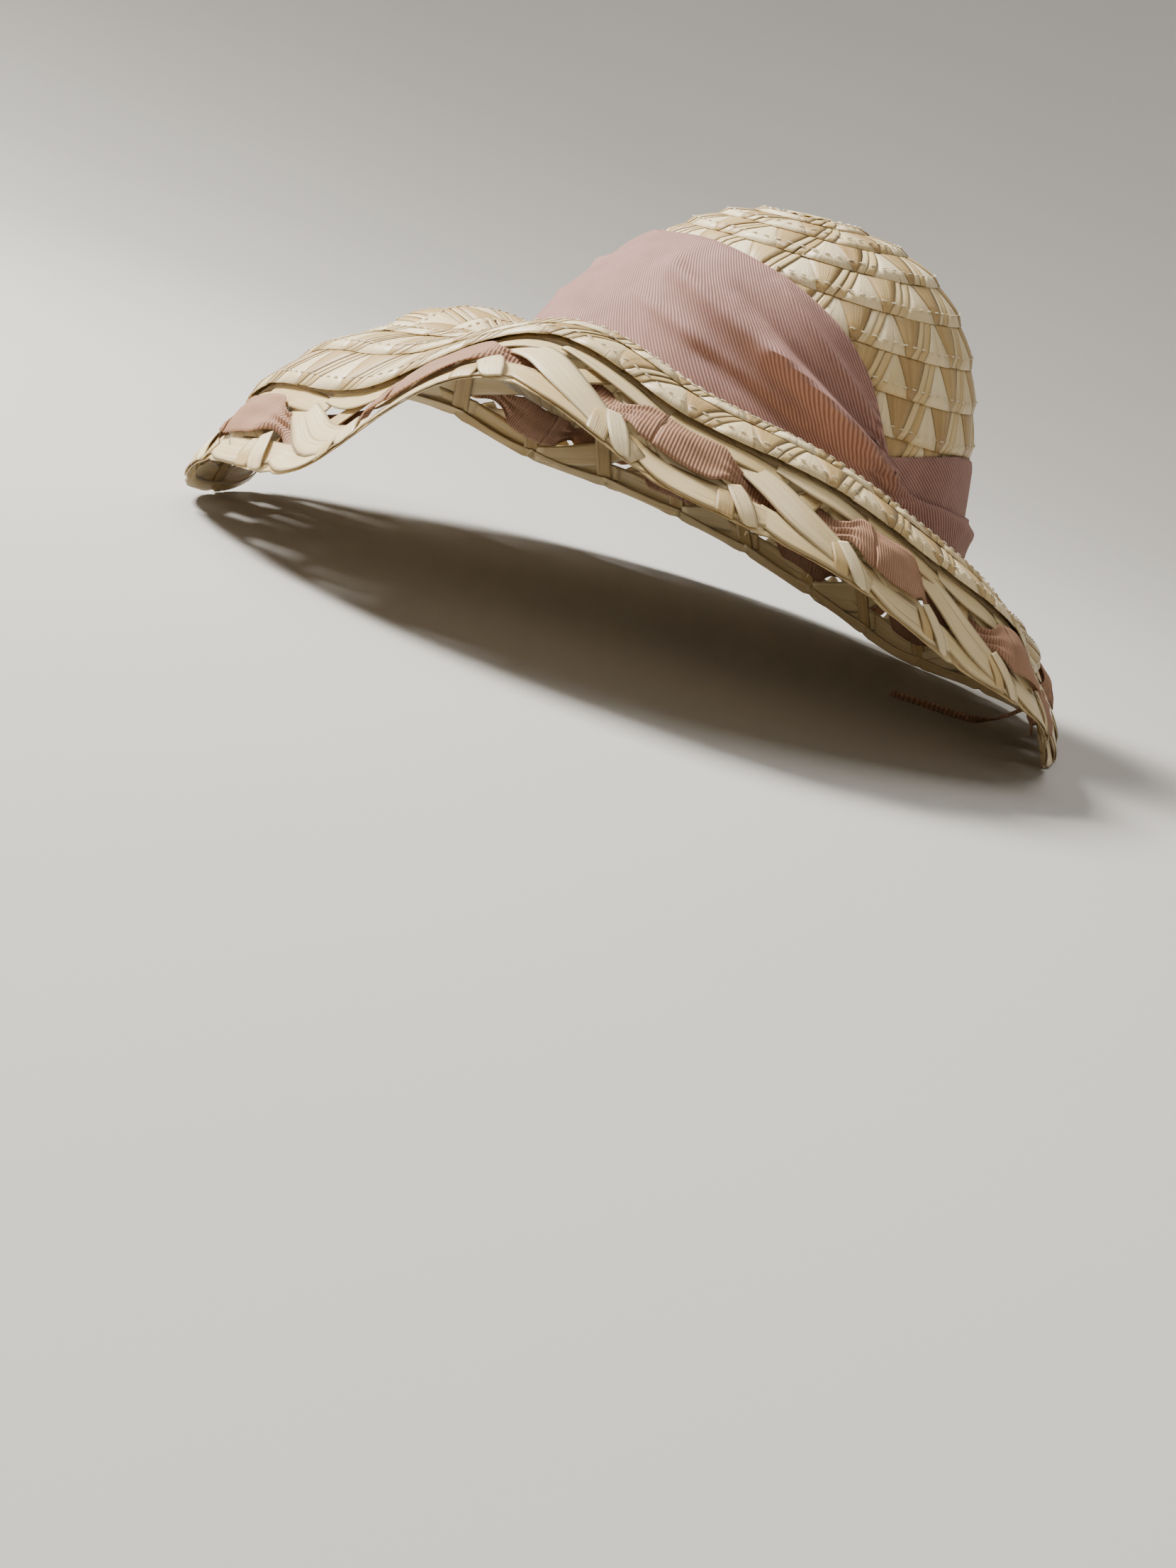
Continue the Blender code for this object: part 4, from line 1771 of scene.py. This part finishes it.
@dataclass
class Studio:
    """Pale floor that curves up into a wall, soft lights and the photograph's camera."""

    azimuth: float = 58.8
    elevation: float = 3.6
    roll: float = 17.4
    distance: float = 0.948
    target: Vector = field(default_factory=lambda: Vector((0, 0, 0.09)))
    target_pixel: tuple[float, float] = (1048.0, 592.0)
    focal_pixels: float = 3300.0
    frame_size: tuple[int, int] = (1659, 2212)
    sensor: float = 36.0
    floor_radius: float = 0.9
    cove_radius: float = 3.1
    cove_steps: int = 16
    wall_height: float = 5.5
    floor_sides: int = 96
    air: tuple[float, float, float, float] = (0.92, 0.90, 0.87, 1.0)
    air_strength: float = 0.10

    def build_floor(self, material: bpy.types.Material) -> None:
        """Spins the floor's outline into a floor that curves up into a wall.

        Args:
            material: its paint.
        """
        bm = bmesh.new()
        outline = [(0.0, 0.0), (self.floor_radius, 0.0)]
        for i in range(1, self.cove_steps + 1):
            angle = math.radians(90 * i / self.cove_steps)
            reach, rise = self.cove_radius * math.sin(angle), self.cove_radius * math.cos(angle)
            outline.append((self.floor_radius + reach, self.cove_radius - rise))
        outline.append((self.floor_radius + self.cove_radius, self.wall_height))
        verts = [bm.verts.new((x, 0.0, z)) for x, z in outline]
        edges = [bm.edges.new(pair) for pair in zip(verts, verts[1:])]
        bmesh.ops.spin(
            bm,
            geom=verts + edges,
            axis=(0, 0, 1),
            cent=(0, 0, 0),
            angle=2 * math.pi,
            steps=self.floor_sides,
            use_merge=True,
        )
        bmesh.ops.remove_doubles(bm, verts=bm.verts, dist=MERGE)
        bmesh.ops.recalc_face_normals(bm, faces=bm.faces)
        bmesh.ops.reverse_faces(bm, faces=bm.faces)
        floor = make_object(bm, "studio_floor", material)

    def back(self) -> Vector:
        """The direction from the hat to the camera."""
        a, e = math.radians(self.azimuth), math.radians(self.elevation)
        return Vector((math.sin(a) * math.cos(e), -math.cos(a) * math.cos(e), math.sin(e)))

    def axes(self) -> Matrix:
        """Turns the camera so that the hat falls where it does in the photograph.

        Returns:
            The camera's axes as columns: right, up and back.
        """
        a, r = math.radians(self.azimuth), math.radians(self.roll)
        right = Vector((math.cos(a), math.sin(a), 0.0))
        up = self.back().cross(right)
        rolled_right = right * math.cos(r) + up * math.sin(r)
        rolled_up = up * math.cos(r) - right * math.sin(r)
        frame_axes = Matrix((rolled_right, rolled_up, self.back())).transposed()
        (width, height), (across, down) = self.frame_size, self.target_pixel
        ray = Vector((across - width / 2, height / 2 - down, -self.focal_pixels))
        aim = Vector((0, 0, -1)).rotation_difference(ray.normalized()).to_matrix()
        return frame_axes @ aim.transposed()

    def build_camera(self, offset: Vector) -> None:
        """Places the camera.

        Args:
            offset: moves from the crown's axis to the part's frame.
        """
        data = bpy.data.cameras.new("photo_camera")
        data.sensor_width = self.sensor
        data.sensor_fit = "AUTO"
        data.lens = self.sensor * self.focal_pixels / self.frame_size[1]
        data.clip_end = 50.0
        camera = bpy.data.objects.new("photo_camera", data)
        bpy.context.scene.collection.objects.link(camera)
        place = self.target + self.back() * self.distance + offset
        camera.matrix_world = Matrix.Translation(place) @ self.axes().to_4x4()
        bpy.context.scene.camera = camera

    def add_light(self, lamp: Lamp) -> None:
        """Adds a soft area light that faces the hat.

        Args:
            lamp: its place, size, power and colour.
        """
        data = bpy.data.lights.new(lamp.name, "AREA")
        data.size = lamp.size
        data.energy = lamp.power
        data.color = lamp.colour
        place = outward(self.azimuth) * lamp.toward + outward(self.azimuth + 90) * lamp.right
        place.z = lamp.up
        light = bpy.data.objects.new(lamp.name, data)
        light.location = place
        light.rotation_euler = (place - self.target).to_track_quat("Z", "Y").to_euler()
        bpy.context.scene.collection.objects.link(light)

    def build_lights(self) -> None:
        """Adds a window-like light from above, a weak fill and a soft surround."""
        for lamp in LAMPS:
            self.add_light(lamp)
        world = bpy.data.worlds.new("studio_air")
        world.use_nodes = True
        air = world.node_tree.nodes["Background"]
        air.inputs["Color"].default_value = self.air
        air.inputs["Strength"].default_value = self.air_strength
        bpy.context.scene.world = world


@dataclass
class StrawHat:
    """The whole hat in the part's frame."""

    form: HatForm = field(default_factory=HatForm)
    crown_rows: int = 10
    crown_period: float = 0.024
    crown_overlap: float = 0.014
    rows_end: float = 0.95
    last_row_end: float = 0.975
    brim_rows: int = 5
    brim_overlap: float = 0.012
    row_start: float = 0.002
    crown_wall_end: float = 0.955
    crown_wall_steps: int = 40
    crown_wall_periods: int = 24
    brim_wall_steps: int = 30
    brim_wall_periods: int = 36
    brim_wall_start: float = 0.002
    brim_wall_end: float = 0.995
    brim_wall_lift: float = -0.002
    tip_strands: int = 9
    tip_cells: tuple[int, int] = (4, 4)
    tip_start: float = 0.945
    tip_reach: float = 0.052
    tip_width: float = 46
    tip_twist: float = 14
    tip_lift: float = 0.0022
    tip_camber: float = 0.0006
    tip_tilt: float = 0.0002
    tip_tone: float = 0.55
    tip_size: tuple[float, float] = (0.008, 0.012)
    tip_leaf: float = 0.0004

    def offset(self) -> Vector:
        """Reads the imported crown's box.

        Returns:
            The move from the crown's axis to the part's frame.
        """
        low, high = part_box("crown")
        feet = min(self.form.foot(azimuth) for azimuth in (7.5 * i for i in range(48)))
        return Vector(((low.x + high.x) / 2, (low.y + high.y) / 2, low.z - feet + self.form.wall * 1.5))

    def crown_edges(self) -> list[Span]:
        """Divides the crown into rows.

        Returns:
            Sewn and hidden share of every row, as functions of the azimuth.
        """
        rows = []
        for row in range(self.crown_rows):
            low = self.rows_end * row / self.crown_rows
            high = self.rows_end * (row + 1) / self.crown_rows + self.crown_overlap
            span = (low + self.row_start, min(high, self.last_row_end))
            rows.append(lambda azimuth, span=span: span)
        return rows

    def brim_edges(self) -> list[Span]:
        """Divides the brim into rows.

        Returns:
            Sewn and hidden share of every row, as functions of the azimuth.
        """
        rows = []
        for row in range(self.brim_rows):
            low, high = row / self.brim_rows, (row + 1) / self.brim_rows

            def span(azimuth: float, low: float = low, high: float = high) -> tuple[float, float]:
                """Sewn and hidden share at an azimuth."""
                edge = self.form.edge_share(azimuth)
                return high * edge, max(low * edge - self.brim_overlap, self.row_start)

            rows.append(span)
        return rows

    def build_tip(self, skin: Skin, material: bpy.types.Material) -> bpy.types.Object:
        """Builds the small coiled centre of the crown's tip.

        Args:
            skin: the crown's surface.
            material: the straw's finish.

        Returns:
            The piece.
        """
        mesh = PieceMesh()
        step = 360 / self.tip_strands
        for i in range(self.tip_strands):

            def place(x: float, y: float, i: int = i) -> Vector:
                """Point of one short strand round the tip.

                Args:
                    x: place across it, from 0 to 1.
                    y: place along it, from its outer end to its inner end.
                    i: the strand's number.

                Returns:
                    The point.
                """
                lift = self.tip_lift + self.tip_camber * math.sin(math.pi * x) + self.tip_tilt * x
                azimuth = step * i + self.tip_width * x + self.tip_twist * y
                return skin.at(azimuth, self.tip_start + self.tip_reach * y, lift)

            tone = self.tip_tone + 0.2 * jitter(i, 31)
            mesh.patch(*self.tip_cells, place, tone, self.tip_size, 0.01 * i)
        return mesh.finish("crown_tip_plait", material, self.tip_leaf)

    def dress(self, piece: bpy.types.Object, slot: Slot, *nodes: str) -> bpy.types.Object:
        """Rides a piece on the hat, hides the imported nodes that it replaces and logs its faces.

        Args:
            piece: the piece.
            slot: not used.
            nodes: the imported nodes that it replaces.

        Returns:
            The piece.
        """
        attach(piece, "root")
        if nodes:
            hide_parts(*nodes)
        log.info("built %s with %d faces", piece.name, len(piece.data.polygons))
        return piece

    def declare_cloth(self, cloths: dict[str, bpy.types.Object]) -> None:
        """Logs the area that every cloth piece shows.

        Args:
            cloths: the cloth pieces by name.
        """
        for piece in cloths.values():
            shown = sum(face.area for face in piece.data.polygons)
            log.info("%s shows %.5f square metres", piece.name, shown)

    def build_walls(self, brim: Skin, crown: Skin) -> None:
        """Builds the plaited walls that carry the rows of crown and brim.

        Args:
            brim: the brim's surface.
            crown: the crown's surface.
        """
        material = PlaitWallFinish().material("plaited_wall")
        steps = self.crown_wall_steps
        up = [i / steps * self.crown_wall_end for i in range(steps + 1)]
        shell = StrawWall(crown, up[::-1], [0.0] + up[1:-2], capped=True)
        piece = shell.build("crown_wall", material, self.crown_wall_periods, self.crown_rows)
        self.dress(piece, Slot.CROWN)

        def share_at(azimuth: float, share: float) -> float:
            """Share of the whole brim at a share of its sewn part."""
            return share * self.form.edge_share(azimuth) * self.brim_wall_end + self.brim_wall_start

        out = [i / self.brim_wall_steps for i in range(self.brim_wall_steps + 1)]
        sheet = StrawWall(brim, out, out[::-1], lift_under=self.brim_wall_lift, share_at=share_at)
        piece = sheet.build("brim_wall", material, self.brim_wall_periods, self.brim_rows)
        self.dress(piece, Slot.BRIM)

    def build_straw(self, brim: Skin, crown: Skin, band: DrapedBand, straw: bpy.types.Material) -> None:
        """Builds the sewn rows of crown and brim, the tip and the row stitches.

        Args:
            brim: the brim's surface.
            crown: the crown's surface.
            band: the cloth, which hides what lies under it.
            straw: the straw's finish.
        """
        thread = ThreadFinish().material("sewing_thread")
        crown_rows = BraidRows(crown, self.crown_edges(), period=self.crown_period, cover=band.cover)
        brim_rows = BraidRows(brim, self.brim_edges())
        self.dress(crown_rows.build("crown_plait", straw), Slot.CROWN, "crown")
        self.dress(brim_rows.build("brim_plait", straw), Slot.BRIM, "brim")
        self.dress(self.build_tip(crown, straw), Slot.CROWN)
        stitches = bmesh.new()
        crown_rows.build_stitches(stitches)
        brim_rows.build_stitches(stitches)
        self.dress(make_object(stitches, "row_stitches", thread), Slot.CROWN)

    def build_trim(self, rim: OpenRim, band: DrapedBand, straw: bpy.types.Material) -> None:
        """Builds the open rim, the threaded ribbon with its end, and the cloth band with its tuck.

        Args:
            rim: the open rim.
            band: the cloth round the crown.
            straw: the straw's finish.
        """
        rose = RibbedClothFinish((0.11, 0.034, 0.024), (0.50, 0.285, 0.235), slant=42)
        brown = RibbedClothFinish((0.15, 0.062, 0.03), (0.47, 0.26, 0.15), slant=90)
        cloth, grosgrain = rose.material("rose_drape"), brown.material("brown_grosgrain")
        self.dress(rim.build(straw), Slot.RIM, "edge_braid")
        ribbon = self.dress(ThreadedRibbon(rim).build(grosgrain), Slot.RIBBON, "edge_ribbon")
        drape = self.dress(band.build(cloth), Slot.CLOTH, "crown_band")
        tuck = self.dress(band.build_tuck(cloth), Slot.CLOTH, "band_tuck")
        tail_low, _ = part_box("ribbon_tail")
        end = self.dress(RibbonEnd(rim, tail_low.z).build(grosgrain), Slot.RIBBON, "ribbon_tail")
        self.declare_cloth({piece.name: piece for piece in (drape, tuck, ribbon, end)})

    def build(self) -> None:
        """Builds every piece and the studio round them."""
        offset = self.offset()
        brim = Skin(self.form.brim_line, offset)
        crown = Skin(self.form.crown_line, offset)
        band = DrapedBand(crown)
        straw = StrawFinish().material("palm_straw")
        self.build_straw(brim, crown, band, straw)
        self.build_walls(brim, crown)
        self.build_trim(OpenRim(brim, self.form), band, straw)
        studio = Studio()
        studio.build_floor(StudioFinish().material("studio_paint"))
        studio.build_lights()
        studio.build_camera(offset)


def main() -> None:
    """Builds the hat and its studio."""
    logging.basicConfig(level=logging.INFO)
    StrawHat().build()
    bpy.context.view_layer.update()


if __name__ == "__main__":
    main()
